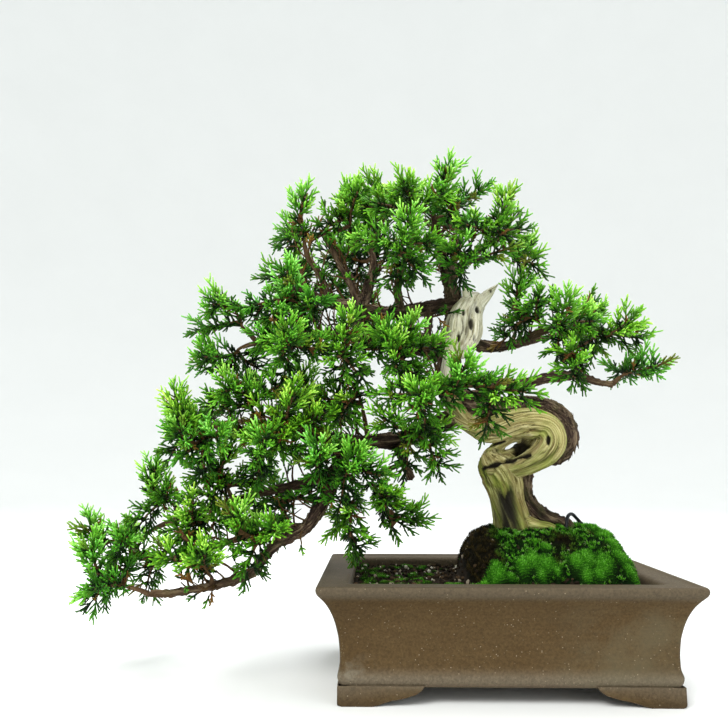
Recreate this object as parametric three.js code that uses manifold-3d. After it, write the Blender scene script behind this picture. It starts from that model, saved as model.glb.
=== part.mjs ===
// Chinese juniper bonsai with a hollow, looping trunk, in a footed rectangular clay pot.
// Millimetres, +Z up. The tree and pot are laid out in the pot's own frame: the origin is the middle of the
// pot's underside, +X is to the viewer's right and -Y is towards the viewer.
// The last lines shift everything so that the origin is the bottom centre of the whole object.

import * as THREE from "three";
import { mergeVertices } from "three/addons/utils/BufferGeometryUtils.js";
import Module from "manifold-3d";

const wasm = await Module();
wasm.setup();

// Driving dimensions of the pot.
const POT_LENGTH = 240;
const POT_DEPTH = 165;
const FOOT_HEIGHT = 11;
const FLOOR_TOP = 18;
const RIM_WIDTH = 21;
const FOOT_WALL = 9;
const DRAIN_RADIUS = 10;
const DRAIN_X = 48;
const SCREEN_SIDE = 30;
const SCREEN_THICK = 1.2;

// Driving dimensions of the soil, the moss and the wire.
const CLEARANCE = 0.35;
const SOIL_LEVEL = 66;
const MOUND_TOP = 34;
const MOUND_X = 35;
const MOUND_LEFT = 58;
const MOUND_RIGHT = 61;
const MOUND_DEPTH = 62;
const WIRE_RADIUS = 1.25;

// Driving dimensions of the foliage: tapering scale shoots all round slim cores.
const CORE_START = 1.4;
const CORE_END = 0.95;
const CORE_STEP = 7.5;
const FEWEST_SEGMENTS = 4;
const MOST_SEGMENTS = 7;
const CORE_TWIST = 22;
const CORE_ARCH = 0.1;
const SIDE_RADII = [1.2, 1, 0.8];
const SIDE_CORE = 28;
const SIDE_TURNS = [0, 180, 80, 250, 125, 305, 35];
const SIDE_SPACING = 0.75;
const SIDE_ROOT = 5;
const FIRST_STRETCH = 4;
const ROOT_TWISTS = [0, 15, -15, 30, -30, 50, -50];
const TWIG_RADII = [2.1, 1.4];
const SHOOT_LENGTH = 15.5;
const SHOOT_VARIATION = 0.22;
const SHORTEST_SHARE = 0.72;
const SHOOT_SWELL = 0.36;
const SHOOT_TRIES = [[1, 1], [1, 0.7], [0.9, 1], [0.85, 0.4], [0.7, 0.8], [0.6, 0.3], [0.45, 0.5], [0.4, 0]];
const SHOOT_LEAN = 0.85;
const SHOOT_RISE = 0.3;
const SHOOT_SCATTER = 0.45;
const FLATTEST_SHOOT = 0.25;
// Room that the foliage keeps around itself, from the middle lines of its cores and shoots.
const CORE_ROOM = 1.5;
const ROOT_ROOM = 2;
const TIP_ROOM = 1.05;
const NEIGHBOUR_ROOM = 1.3;
const SHOOT_KNEE = 0.45;
const SEAT_REACH = 9;
const LOWEST_TIP = 38;

const SLIVER = 0.04;
const MARGIN = 0.01;

const V = (x, y, z) => new THREE.Vector3(x, y, z);
const lerp = (a, b, t) => a + (b - a) * t;
const radians = THREE.MathUtils.degToRad;

// Solids

// A closed three.js geometry as a solid that can be joined and cut.
function solid(geometry) {
  const plain = geometry.clone();
  plain.deleteAttribute("normal");
  plain.deleteAttribute("uv");
  const merged = mergeVertices(plain, 1e-4);
  return new wasm.Manifold(
    new wasm.Mesh({
      numProp: 3,
      vertProperties: new Float32Array(merged.attributes.position.array),
      triVerts: new Uint32Array(merged.index.array),
    }),
  );
}

// A solid as a three.js geometry with flat facets. Slivers that a join or a cut left behind are dropped.
function geometryOf(made) {
  const mesh = made.simplify(SLIVER).getMesh();
  const geometry = new THREE.BufferGeometry();
  geometry.setAttribute("position", new THREE.BufferAttribute(new Float32Array(mesh.vertProperties), 3));
  geometry.setIndex(new THREE.BufferAttribute(new Uint32Array(mesh.triVerts), 1));
  const faceted = geometry.toNonIndexed();
  faceted.computeVertexNormals();
  return faceted;
}

// The largest connected body, so that loose scraps left by a cut are dropped.
function largest(made) {
  return made.decompose().reduce((best, body) => (body.volume() > best.volume() ? body : best));
}

function joined(solids) {
  return solids.reduce((sum, next) => sum.add(next));
}

// A closed skin over a row of rings with the same number of points each.
function skin(rings) {
  const count = rings[0].length;
  const position = rings.flat().flatMap((p) => [p.x, p.y, p.z]);
  const index = [];
  for (let r = 0; r + 1 < rings.length; r++) {
    for (let i = 0; i < count; i++) {
      const a = r * count + i;
      const b = r * count + ((i + 1) % count);
      index.push(a, b, b + count, a, b + count, a + count);
    }
  }
  const last = (rings.length - 1) * count;
  for (let i = 1; i + 1 < count; i++) {
    index.push(0, i + 1, i);
    index.push(last, last + i, last + i + 1);
  }
  const geometry = new THREE.BufferGeometry();
  geometry.setAttribute("position", new THREE.Float32BufferAttribute(position, 3));
  geometry.setIndex(index);
  const made = solid(geometry);
  if (made.volume() > 0) return made;
  const turned = [];
  for (let i = 0; i < index.length; i += 3) turned.push(index[i], index[i + 2], index[i + 1]);
  geometry.setIndex(turned);
  return solid(geometry);
}

// A tube through rows of [x, y, z, half width, half depth], with an elliptical section of few sides.
// The depth axis stays close to the world's Y axis. Growth adds to every radius.
function strand(rows, sides, growth = 0, steps = 1) {
  const path = new THREE.CatmullRomCurve3(rows.map((row) => V(row[0], row[1], row[2])), false, "centripetal");
  const total = (rows.length - 1) * steps;
  const rings = [];
  for (let k = 0; k <= total; k++) {
    const u = k / total;
    const at = Math.min(Math.floor(k / steps), rows.length - 2);
    const part = k / steps - at;
    const centre = path.getPoint(u);
    const along = path.getTangent(u);
    const reference = Math.abs(along.y) < 0.85 ? V(0, 1, 0) : V(0, 0, 1);
    const wide = V().crossVectors(reference, along).normalize();
    const deep = V().crossVectors(along, wide).normalize();
    const a = lerp(rows[at][3], rows[at + 1][3], part) + growth;
    const b = lerp(rows[at][4] ?? rows[at][3], rows[at + 1][4] ?? rows[at + 1][3], part) + growth;
    if (k === 0) centre.addScaledVector(along, -growth);
    if (k === total) centre.addScaledVector(along, growth);
    rings.push(
      Array.from({ length: sides }, (_, i) => {
        const turn = ((i + 0.5) / sides) * Math.PI * 2;
        return centre
          .clone()
          .addScaledVector(wide, Math.cos(turn) * a)
          .addScaledVector(deep, Math.sin(turn) * b);
      }),
    );
  }
  return skin(rings);
}

// The same seeded draw is used for every repeat: numbers from 0 to 1 that depend only on the seed.
function draw(seed) {
  let state = seed >>> 0;
  return () => {
    state = (state + 0x6d2b79f5) >>> 0;
    let mixed = state;
    mixed = Math.imul(mixed ^ (mixed >>> 15), mixed | 1);
    mixed ^= mixed + Math.imul(mixed ^ (mixed >>> 7), mixed | 61);
    return ((mixed ^ (mixed >>> 14)) >>> 0) / 4294967296;
  };
}

// Pot

// A rectangle with rounded corners, as a ring of twelve points at one height.
function cornerRing(halfX, halfY, radius, z) {
  const ring = [];
  for (const [sx, sy, start] of [[1, 1, 0], [-1, 1, 90], [-1, -1, 180], [1, -1, 270]]) {
    for (const turn of [0, 45, 90]) {
      const angle = radians(start + turn);
      ring.push(
        V(
          sx * (halfX - radius) + radius * Math.cos(angle),
          sy * (halfY - radius) + radius * Math.sin(angle),
          z,
        ),
      );
    }
  }
  return ring;
}

// Rows of [height, inset from the rim's outer edge, corner radius].
const OUTER_PROFILE = [
  [FOOT_HEIGHT, 15.5, 3],
  [12.5, 14.2, 3],
  [16, 13, 3.5],
  [18.5, 13.2, 3.5],
  [21, 14.6, 3],
  [30, 14.7, 3],
  [40, 13.8, 3],
  [48, 12, 3],
  [54, 10, 3],
  [59, 7.6, 3],
  [63, 5, 3],
  [66, 2.4, 3],
  [67.5, 0.6, 3],
  [69, 0, 3],
  [72.2, 0, 3],
  [73, 0.8, 3],
];
const RIM_PROFILE = [
  [73, 3.9, 3],
  [71.7, 4.6, 3],
  [72.1, 5.8, 3],
  [72.1, RIM_WIDTH - 1.2, 3],
  [71, RIM_WIDTH, 3],
  [62, RIM_WIDTH + 1, 3],
];
const CAVITY_FLOOR_INSET = RIM_WIDTH + 2.5;

function potRings(rows) {
  return rows.map(([z, inset, radius]) =>
    cornerRing(POT_LENGTH / 2 - inset, POT_DEPTH / 2 - inset, radius, z),
  );
}

function box(x, y, z, wide, deep, high) {
  return solid(new THREE.BoxGeometry(wide, deep, high).translate(x, y, z));
}

// One side's bracket feet: the outline of two feet with an ogee between them and the middle, extruded.
function footWall(halfSpan, footLength) {
  const inner = halfSpan - footLength;
  const outline = [
    [halfSpan, FOOT_HEIGHT + 1],
    [halfSpan, 2],
    [halfSpan - 2, 0],
    [halfSpan - 22, 0],
    [halfSpan - 28, 1.6],
    [halfSpan - 40, 4.4],
    [inner + 8, 6.4],
    [inner + 3, 8.6],
    [inner, FOOT_HEIGHT + 1],
  ];
  const shape = new THREE.Shape(outline.map(([x, y]) => new THREE.Vector2(x, y)));
  const right = new THREE.ExtrudeGeometry(shape, { depth: FOOT_WALL, bevelEnabled: false });
  right.rotateX(Math.PI / 2);
  const made = solid(right);
  return made.add(made.mirror([1, 0, 0]));
}

function makePot() {
  const body = skin(potRings([...OUTER_PROFILE, ...RIM_PROFILE, [FLOOR_TOP, CAVITY_FLOOR_INSET, 3]]));
  const footX = POT_LENGTH / 2 - 13.2;
  const footY = POT_DEPTH / 2 - 13.2;
  const long = footWall(footX, 54);
  const short = footWall(footY, 44).rotate([0, 0, 90]);
  let made = body
    .add(long.translate([0, -footY + FOOT_WALL, 0]))
    .add(long.translate([0, footY, 0]))
    .add(short.translate([footX - FOOT_WALL, 0, 0]))
    .add(short.translate([-footX, 0, 0]));
  for (const x of [-DRAIN_X, DRAIN_X]) {
    const hole = new THREE.CylinderGeometry(DRAIN_RADIUS, DRAIN_RADIUS, 40, 14).rotateX(Math.PI / 2);
    made = made.subtract(solid(hole.translate(x, 0, FLOOR_TOP)));
  }
  return made;
}

// Wood

// Pale dead wood, rows of [x, y, z, half width, half depth].
const DEAD_STRANDS = {
  column: [
    [17, 1, 90, 13, 11.5],
    [17, 1, 101, 14.5, 12.5],
    [16, 0, 109, 13.2, 11.5],
    [13.5, 0, 122, 13, 10.5],
    [12, 0, 133, 14.5, 11],
    [9, 0, 142, 15.5, 11.5],
    [3, 0, 149, 11.5, 9.5],
    [0, 1, 155, 6, 6],
  ],
  loop: [
    [4, -4, 143, 7, 8],
    [16, -6, 144.5, 7.2, 8],
    [28, -8, 148, 8.2, 8.5],
    [39, -9, 154, 9.6, 9.5],
    [45.5, -9, 163, 10, 10],
    [44, -7, 172, 10, 10],
    [36, -4, 177, 10.2, 10],
    [24, -2, 178, 9.4, 9.5],
    [11, 0, 175, 9.6, 9],
    [-1, 0, 172, 8.8, 8.5],
    [-12, 1, 177, 7.4, 7.5],
    [-22, 2, 183, 6.4, 6.5],
    [-28, 3, 189, 4.5, 5],
  ],
  ridge: [
    [2, 1, 149, 5, 5],
    [5, 2, 157, 4.5, 4.5],
    [14, 3, 164, 3.4, 4],
    [22, 3, 168.5, 4, 4],
  ],
  tongue: [
    [0, 2, 150, 4, 5],
    [7, 3, 153, 3.4, 4.5],
    [15, 5, 155.5, 2.8, 4],
    [23, 8, 158, 2, 3],
  ],
  hollow_back: [
    [14, 8, 147, 5, 3.5],
    [23, 10, 153, 6.5, 3.5],
    [31, 8, 160, 6, 3.5],
    [38, 4, 167, 4, 3.5],
  ],
  root: [
    [22, -3, 107, 6, 6],
    [33, -4, 103.5, 4.6, 5],
    [44, -4, 101, 4, 4.5],
    [53, -3, 93, 3.6, 4],
  ],
  strip: [
    [-13, -1, 178, 5, 4],
    [-24, -6, 192, 4.4, 4],
    [-31, -7, 208, 4.2, 4],
    [-28, -6, 224, 5, 4.4],
    [-21, -3, 236, 8, 6],
  ],
  jin: [
    [-22, -2, 227, 6, 5.5],
    [-20, -2, 236, 10, 7],
    [-17, -2, 246, 14, 7.5],
    [-14, -2, 257, 12.8, 7],
    [-9.5, -2, 266, 10.5, 5.6],
    [-6, -2, 272, 9, 4.2],
  ],
  jin_left_tip: [
    [-10, -2, 266, 5, 4],
    [-13.5, -2, 275, 3.6, 3],
    [-15.5, -2, 284, 1, 1],
  ],
  jin_right_tip: [
    [-4, -2, 267, 5, 4],
    [3, -2, 275, 4, 3],
    [11, -2, 283, 0.9, 0.9],
  ],
};

// Bark-covered wood, rows of [x, y, z, radius]. The vein climbs from the root round the loop to the canopy.
const LIVE_LIMBS = {
  vein: [
    [61, 3, 91, 4.2],
    [59.5, 3, 100, 4.2],
    [51, 2, 105.5, 4.4],
    [40, 1, 110, 4.8],
    [31.5, 0, 117, 4.8],
    [27.5, 0, 126, 4.2],
    [27.5, 1, 137, 4],
    [32, 5, 147, 4.6],
    [44, 7, 152, 5.8],
    [54, 4, 157, 6.4],
    [58, 2, 166, 6.8],
    [56, 3, 177, 7.2],
    [49, 5, 185, 7.8],
    [38, 7, 189, 8.2],
    [24, 8, 189, 8.4],
    [8, 9, 188, 8.8],
    [-8, 8, 189, 9.4],
    [-20, 7, 194, 9.6],
    [-27, 6, 206, 9.4],
    [-27, 7, 224, 8.8],
    [-24, 9, 242, 8.2],
    [-21, 10, 258, 7.2],
    [-22, 9, 272, 6.2],
    [-26, 6, 290, 4.8],
    [-31, 4, 308, 3.8],
    [-35, 3, 326, 3],
    [-38, 2, 340, 2.2],
  ],
  crown_left: [
    [-22, 8, 270, 5.6],
    [-45, 4, 265, 5.4],
    [-73, 2, 262, 4.8],
    [-97, 0, 265, 4.2],
    [-121, -6, 270, 3.2],
    [-143, -12, 278, 2.6],
  ],
  riser_left: [
    [-95, -2, 262, 4.4],
    [-97, 0, 273, 3.8],
    [-101, -2, 284, 3.2],
    [-111, -4, 302, 2.6],
    [-117, -2, 315, 2.1],
    [-124, 3, 327, 1.7],
  ],
  riser_outer: [
    [-117, -5, 269, 2.9],
    [-123, -11, 286, 2.3],
    [-134, -12, 303, 1.9],
    [-137, -8, 316, 1.5],
  ],
  link_left: [
    [-92, -14, 241, 4.4],
    [-96, -8, 251, 4.6],
    [-96, -2, 263, 4.8],
  ],
  riser_middle: [
    [-93, 1, 264, 4.2],
    [-87, 6, 286, 3.4],
    [-84, 10, 303, 2.8],
    [-86, 13, 318, 2.2],
    [-80, 15, 331, 1.8],
  ],
  riser_front: [
    [-63, 2, 263, 3.2],
    [-66, -6, 281, 2.7],
    [-61, -14, 296, 2.2],
    [-56, -20, 308, 1.9],
    [-52, -22, 318, 1.6],
  ],
  crown_right: [
    [-26, 6, 288, 3.4],
    [-10, 2, 305, 2.8],
    [8, -4, 316, 2.2],
    [18, -7, 319, 1.7],
  ],
  crown_back: [
    [-25, 7, 288, 3.4],
    [-19, 22, 313, 2.8],
    [-12, 36, 337, 2.2],
    [-13, 45, 353, 1.7],
  ],
  link: [
    [-42, 2, 265, 3],
    [-43, 0, 240, 3],
  ],
  middle_left: [
    [-25, 8, 237, 5.6],
    [-38, 2, 239, 5.4],
    [-61, -6, 240, 4.8],
    [-82, -12, 240, 4.2],
    [-112, -20, 240, 3.4],
    [-140, -26, 239, 2.8],
    [-167, -30, 233, 2.2],
  ],
  middle_back: [
    [-26, 8, 229, 4.4],
    [-44, 18, 234, 4],
    [-71, 34, 242, 3.4],
    [-108, 46, 252, 2.6],
    [-142, 52, 256, 1.8],
  ],
  right_high: [
    [-23, 9, 246, 4.4],
    [-6, 8, 239, 4.2],
    [10, 3, 235, 3.6],
    [25, 0, 238, 3],
    [41, -2, 245, 2.4],
    [59, -4, 250, 2],
    [76, -4, 249, 1.6],
  ],
  right_low: [
    [-26, 6, 214, 5],
    [-6, -2, 208, 4.6],
    [22, -11, 205, 4],
    [42, -14, 209, 3.4],
    [63, -14, 211, 2.8],
    [77, -12, 207, 2.4],
    [91, -10, 205, 2],
  ],
  right_back: [
    [10, 3, 235, 2.8],
    [31, 20, 240, 2.4],
    [54, 36, 248, 2],
    [73, 45, 253, 1.6],
  ],
  front_middle: [
    [-26, 5, 198, 4.6],
    [-33, -14, 200, 3.6],
    [-40, -30, 203, 2.8],
    [-44, -42, 203, 2],
  ],
  front_right: [
    [-24, 4, 199, 4.2],
    [-13, -16, 197, 3.2],
    [-5, -32, 196, 2.4],
    [0, -40, 196, 1.8],
  ],
  cascade: [
    [-14, 7, 187, 7],
    [-35, 1, 177, 6.4],
    [-65, -6, 165, 5.8],
    [-88, -12, 163, 5.2],
    [-103, -16, 158, 4.8],
    [-112, -20, 138, 4.4],
    [-131, -24, 104, 3.8],
    [-155, -26, 90, 3.3],
    [-169, -28, 73, 3],
    [-189, -28, 66, 2.6],
    [-214, -26, 61, 2.3],
    [-239, -24, 58, 2],
  ],
  left_middle: [
    [-96, -14, 162, 4],
    [-118, -20, 165, 3.4],
    [-158, -26, 170, 2.6],
    [-186, -28, 172, 2.2],
  ],
  left_back: [
    [-84, -11, 163, 3.6],
    [-114, 10, 168, 3],
    [-146, 28, 175, 2.5],
    [-184, 40, 181, 2.1],
  ],
  left_low: [
    [-111, -19, 141, 3.6],
    [-138, -10, 133, 3.2],
    [-172, 0, 125, 2.7],
    [-206, 6, 115, 2.4],
    [-238, 8, 104, 2],
  ],
  low_back: [
    [-131, -24, 104, 3],
    [-156, -6, 100, 2.5],
    [-184, 12, 92, 2.2],
    [-217, 24, 82, 1.9],
  ],
  cut_stub: [
    [-67, -6, 162, 3.8],
    [-62, -7, 148, 3.2],
    [-57, -8, 137, 2.8],
  ],
  left_stub: [
    [-108, -18, 160, 3.4],
    [-118, -20, 158, 3.2],
  ],
};

// Foliage sprays, rows of [name, seat on its twig's end, tip of its core].
const SPRAYS = [
["crown_1", [-103, 2, 331], [-112, -2, 340]],
  ["crown_2", [-76, 16, 342], [-78, 10, 361]],
  ["crown_3", [-54, -24, 325], [-56, -30, 342]],
  ["crown_4", [-27, 4, 339], [-32, -24, 346]],
  ["crown_5", [2, -12, 316], [8, -30, 326]],
  ["crown_6", [16, -5, 309], [29, -2, 303]],
  ["crown_7", [-129, 6, 322], [-143, -8, 331]],
  ["crown_8", [-63, -22, 309], [-66, -50, 290]],
  ["crown_9", [-90, 16, 306], [-104, 50, 323]],
  ["crown_10", [-12, -8, 297], [-24, -36, 300]],
  ["upper_1", [-136, -8, 284], [-148, -2, 306]],
  ["upper_2", [-128, -18, 264], [-174, -36, 258]],
  ["upper_3", [-128, 16, 275], [-146, 50, 289]],
  ["middle_1", [-176, -32, 242], [-187, -35, 261]],
  ["middle_2", [-178, -30, 230], [-190, -23, 214]],
  ["middle_3", [-140, -28, 233], [-146, -58, 219]],
  ["middle_4", [-103, -20, 232], [-108, -56, 218]],
  ["middle_5", [-170, -28, 182], [-178, -36, 200]],
  ["middle_6", [-129, 18, 184], [-138, 48, 207]],
  ["front_1", [-63, -12, 232], [-69, -54, 211]],
  ["front_2", [-47, -46, 199], [-54, -66, 181]],
  ["front_3", [-28, -46, 200], [-32, -66, 195]],
  ["front_4", [-4, -46, 199], [-5, -65, 192]],
  ["front_5", [-64, -15, 170], [-45, -42, 160]],
  ["front_6", [-92, -20, 186], [-99, -48, 201]],
  ["right_1", [41, -4, 250], [20, -6, 263]],
  ["right_2", [56, -10, 251], [46, -34, 242]],
  ["right_3", [82, -6, 246], [86, -20, 238]],
  ["right_4", [96, -12, 210], [109, -10, 217]],
  ["right_5", [66, -21, 214], [54, -38, 225]],
  ["left_1", [-203, -27, 174], [-220, -28, 176]],
  ["left_2", [-138, -32, 168], [-144, -54, 178]],
  ["left_3", [-197, -28, 168], [-211, -44, 155]],
  ["left_4", [-158, -26, 165], [-162, -56, 150]],
  ["left_5", [-117, -25, 157], [-123, -50, 143]],
  ["left_6", [-104, -27, 146], [-103, -48, 138]],
  ["low_1", [-256, 6, 94], [-284, -4, 87]],
  ["low_2", [-233, 8, 115], [-250, 0, 124]],
  ["low_3", [-190, -6, 128], [-194, -26, 143]],
  ["low_4", [-204, -1, 110], [-217, -30, 97]],
  ["low_5", [-146, 0, 121], [-167, 34, 119]],
  ["cascade_1", [-253, -22, 62], [-279, -22, 71]],
  ["cascade_2", [-194, -35, 71], [-222, -46, 85]],
  ["cascade_3", [-150, -32, 98], [-177, -50, 96]],
  ["hanging_1", [-84, -14, 137], [-71, -30, 104]],
  ["hanging_2", [-100, -20, 128], [-100, -38, 98]],
  ["back_1", [-12, 51, 345], [-26, 64, 357]],
  ["back_2", [-76, 20, 325], [-94, 52, 350]],
  ["back_3", [-71, 42, 248], [-87, 60, 267]],
  ["back_4", [77, 44, 254], [98, 50, 260]],
  ["back_5", [-214, 44, 179], [-235, 52, 173]],
  ["back_6", [-243, 28, 74], [-265, 36, 73]],
];

// Straight stretches [from, to, radius] stand in for the wood and the shoots in the clearance test.
function stretches(rows) {
  const list = [];
  for (let i = 0; i + 1 < rows.length; i++) {
    const a = rows[i];
    const b = rows[i + 1];
    const radius = Math.max(a[3], a[4] ?? 0, b[3], b[4] ?? 0);
    list.push([V(a[0], a[1], a[2]), V(b[0], b[1], b[2]), radius]);
  }
  return list;
}

// The shortest distance between two straight stretches.
function distance(p1, q1, p2, q2) {
  const d1 = V().subVectors(q1, p1);
  const d2 = V().subVectors(q2, p2);
  const r = V().subVectors(p1, p2);
  const a = Math.max(d1.dot(d1), 1e-9);
  const e = Math.max(d2.dot(d2), 1e-9);
  const f = d2.dot(r);
  const c = d1.dot(r);
  const b = d1.dot(d2);
  const denominator = a * e - b * b;
  let s = denominator > 1e-9 ? THREE.MathUtils.clamp((b * f - c * e) / denominator, 0, 1) : 0;
  let t = (b * s + f) / e;
  if (t < 0) {
    t = 0;
    s = THREE.MathUtils.clamp(-c / a, 0, 1);
  } else if (t > 1) {
    t = 1;
    s = THREE.MathUtils.clamp((b - c) / a, 0, 1);
  }
  return p1.clone().addScaledVector(d1, s).distanceTo(p2.clone().addScaledVector(d2, t));
}

// The point of the limbs nearest to a spray's seat, where its twig leaves the limb.
function nearestOnLimbs(point) {
  let best = null;
  for (const rows of Object.values(LIVE_LIMBS)) {
    for (const [a, b] of stretches(rows)) {
      for (let t = 0; t <= 1; t += 0.25) {
        const at = a.clone().lerp(b, t);
        const gap = at.distanceTo(point);
        if (!best || gap < best.gap) best = { at, gap };
      }
    }
  }
  return best.at;
}

const twigs = SPRAYS.map(([, seat]) => {
  const end = V(...seat);
  return { start: nearestOnLimbs(end), end };
});

function makeDeadwood(growth) {
  const steps = { loop: 2 };
  const sides = { column: 11, loop: 9, jin: 9 };
  return joined(
    Object.entries(DEAD_STRANDS).map(([name, rows]) =>
      strand(rows, sides[name] ?? 6, growth, steps[name] ?? 1),
    ),
  );
}

function makeLiveWood(growth) {
  const sides = { vein: 7, cascade: 5, crown_left: 5, middle_left: 5, right_low: 5 };
  const limbs = Object.entries(LIVE_LIMBS).map(([name, rows]) => strand(rows, sides[name] ?? 4, growth));
  const ends = twigs.map(({ start, end }) =>
    strand([[...start, TWIG_RADII[0]], [...end, TWIG_RADII[1]]], 3, growth),
  );
  return joined([...limbs, ...ends]);
}

// Foliage

function middleOf(mesh, face) {
  return face.reduce((sum, corner) => sum.addScaledVector(mesh.vertices[corner], 1 / 3), V());
}

function normalOf(mesh, face) {
  const [p, q, r] = face.map((corner) => mesh.vertices[corner]);
  return V().subVectors(q, p).cross(V().subVectors(r, p)).normalize();
}

// A direction square to another one, and level unless that one is upright.
function levelSide(along) {
  const reference = Math.abs(along.z) < 0.8 ? V(0, 0, 1) : V(0, -1, 0);
  return V().crossVectors(along, reference).normalize();
}

// Whether the straight edge from p to q passes through the triangle [a, b, c].
function pierces(p, q, [a, b, c]) {
  const ab = V().subVectors(b, a);
  const ac = V().subVectors(c, a);
  const line = V().subVectors(q, p);
  const cross = V().crossVectors(line, ac);
  const slant = ab.dot(cross);
  if (Math.abs(slant) < 1e-9) return false;
  const start = V().subVectors(p, a);
  const u = start.dot(cross) / slant;
  if (u < -MARGIN || u > 1 + MARGIN) return false;
  const turned = V().crossVectors(start, ab);
  const v = line.dot(turned) / slant;
  if (v < -MARGIN || u + v > 1 + MARGIN) return false;
  const t = ac.dot(turned) / slant;
  return t > -MARGIN && t < 1 + MARGIN;
}

// Whether any new face crosses another one or a wall of the same mesh.
// The corners of a face are numbers in the mesh's list of vertices.
function crossing(mesh, fresh) {
  const boxOf = (face) => new THREE.Box3().setFromPoints(face.map((corner) => mesh.vertices[corner]));
  const cuts = (one, other) => {
    const plane = other.map((corner) => mesh.vertices[corner]);
    return [0, 1, 2].some((i) => {
      const [from, to] = [one[i], one[(i + 1) % 3]];
      if (other.includes(from) || other.includes(to)) return false;
      return pierces(mesh.vertices[from], mesh.vertices[to], plane);
    });
  };
  return fresh.some((face, i) => {
    const around = boxOf(face);
    return [...mesh.walls, ...fresh.slice(i + 1)].some(
      (wall) => boxOf(wall).intersectsBox(around) && (cuts(face, wall) || cuts(wall, face)),
    );
  });
}

// Draws one face out to a tapering shoot that leans forward along its core and a little upwards.
// Where it finds no room the shoot is straightened and shortened step by step, or left out.
function shoot(mesh, face, along, share, random, free, keep) {
  const base = middleOf(mesh, face);
  const out = normalOf(mesh, face);
  const swell = SHORTEST_SHARE + SHOOT_SWELL * Math.sin(0.9 * Math.PI * share);
  const wanted = SHOOT_LENGTH * swell * lerp(1 - SHOOT_VARIATION, 1 + SHOOT_VARIATION, random());
  for (const [part, lean] of SHOOT_TRIES) {
    const jitter = V(random() - 0.5, random() - 0.5, random() - 0.5);
    const heading = V()
      .addScaledVector(along, SHOOT_LEAN * lean)
      .add(out)
      .addScaledVector(V(0, 0, 1), SHOOT_RISE * lean)
      .addScaledVector(jitter, SHOOT_SCATTER)
      .normalize();
    const tip = base.clone().addScaledVector(heading, wanted * part);
    if (out.dot(heading) < FLATTEST_SHOOT || !free(base, tip)) continue;
    mesh.vertices.push(tip);
    const apex = mesh.vertices.length - 1;
    const [a, b, c] = face;
    const sides = [[a, b, apex], [b, c, apex], [c, a, apex]];
    if (crossing(mesh, sides) || !keep(base, tip)) {
      mesh.vertices.pop();
      continue;
    }
    mesh.walls.push(...sides);
    mesh.index.push(...sides.flat());
    return;
  }
  mesh.index.push(...face);
}

// The direction from the middle of a ring of three to its first corner, evened out over all three.
function spokeOf(mesh, ring, along) {
  const middle = middleOf(mesh, ring);
  const spoke = V();
  ring.forEach((corner, i) => {
    const arm = V().subVectors(mesh.vertices[corner], middle);
    spoke.add(arm.applyAxisAngle(along, radians(-120 * i)));
  });
  return spoke.addScaledVector(along, -spoke.dot(along)).normalize();
}

// Carries the three corners of a face along a path as a slim core, and lists the core's own faces,
// each with its segment k, its share of the way along and the core's direction there.
function growCore(mesh, face, points, radii, twist) {
  const path = new THREE.CatmullRomCurve3(points, false, "centripetal");
  const count = radii.length;
  const faces = [];
  const list = (corners, k, share) => faces.push({ face: corners, k, share, along: path.getTangent(share) });
  let ring = face;
  for (let k = 0; k < count; k++) {
    const centre = path.getPoint((k + 1) / count);
    const along = path.getTangent((k + 1) / count);
    const spoke = spokeOf(mesh, ring, along).applyAxisAngle(along, radians(k > 0 ? CORE_TWIST : twist));
    const next = ring.map((_, i) => {
      const turned = spoke.clone().applyAxisAngle(along, radians(120 * i));
      mesh.vertices.push(centre.clone().addScaledVector(turned, radii[k]));
      return mesh.vertices.length - 1;
    });
    for (let i = 0; i < 3; i++) {
      const j = (i + 1) % 3;
      list([ring[i], ring[j], next[j]], k, (k + 0.33) / count);
      list([ring[i], next[j], next[i]], k, (k + 0.67) / count);
    }
    ring = next;
  }
  list(ring, count, 1);
  return faces;
}

// Grows a core, turned at its root until it crosses neither itself nor the walls that stand already.
// Gives nothing where no turn helps.
function growClear(mesh, face, points, radii) {
  const before = mesh.vertices.length;
  for (const twist of ROOT_TWISTS) {
    const faces = growCore(mesh, face, points, radii, twist);
    const walls = faces.map((entry) => entry.face);
    if (!crossing(mesh, walls)) {
      mesh.walls.push(...walls);
      return faces;
    }
    mesh.vertices.length = before;
  }
  return null;
}

// Side cores leave the main core in turn at the angles round it that SIDE_TURNS lists.
function growSideCores(mesh, faces, { from, end }, places, random, free) {
  const along = V().subVectors(end, from).normalize();
  const side = levelSide(along);
  const sideCores = [];
  places.forEach((place, n) => {
    const hand = side.clone().applyAxisAngle(along, radians(SIDE_TURNS[n % SIDE_TURNS.length]));
    const outwards = (entry) => normalOf(mesh, entry.face).dot(hand);
    const open = faces.filter(({ k, used }) => k === place && !used);
    const chosen = open.reduce((best, entry) => (outwards(entry) > outwards(best) ? entry : best));
    const root = middleOf(mesh, chosen.face);
    const heading = hand
      .clone()
      .addScaledVector(along, 0.6)
      .addScaledVector(normalOf(mesh, chosen.face), 0.7)
      .addScaledVector(V(0, 0, 1), 0.5 * (random() - 0.4))
      .normalize();
    const length = SIDE_CORE * lerp(0.9, 1.15, random()) * (1.1 - 0.45 * chosen.share);
    const tip = root.clone().addScaledVector(heading, length);
    const clearOfRoot = root.clone().addScaledVector(heading, SIDE_ROOT);
    if (!free(clearOfRoot, tip, sideCores.map(({ tube }) => tube))) return;
    const bend = root.clone().lerp(tip, 0.5).addScaledVector(along, 1.5);
    const grown = growClear(mesh, chosen.face, [root, bend, tip], SIDE_RADII);
    if (!grown) return;
    chosen.used = true;
    sideCores.push({ faces: grown, tube: [root, tip, CORE_ROOM] });
  });
  return sideCores;
}

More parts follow.
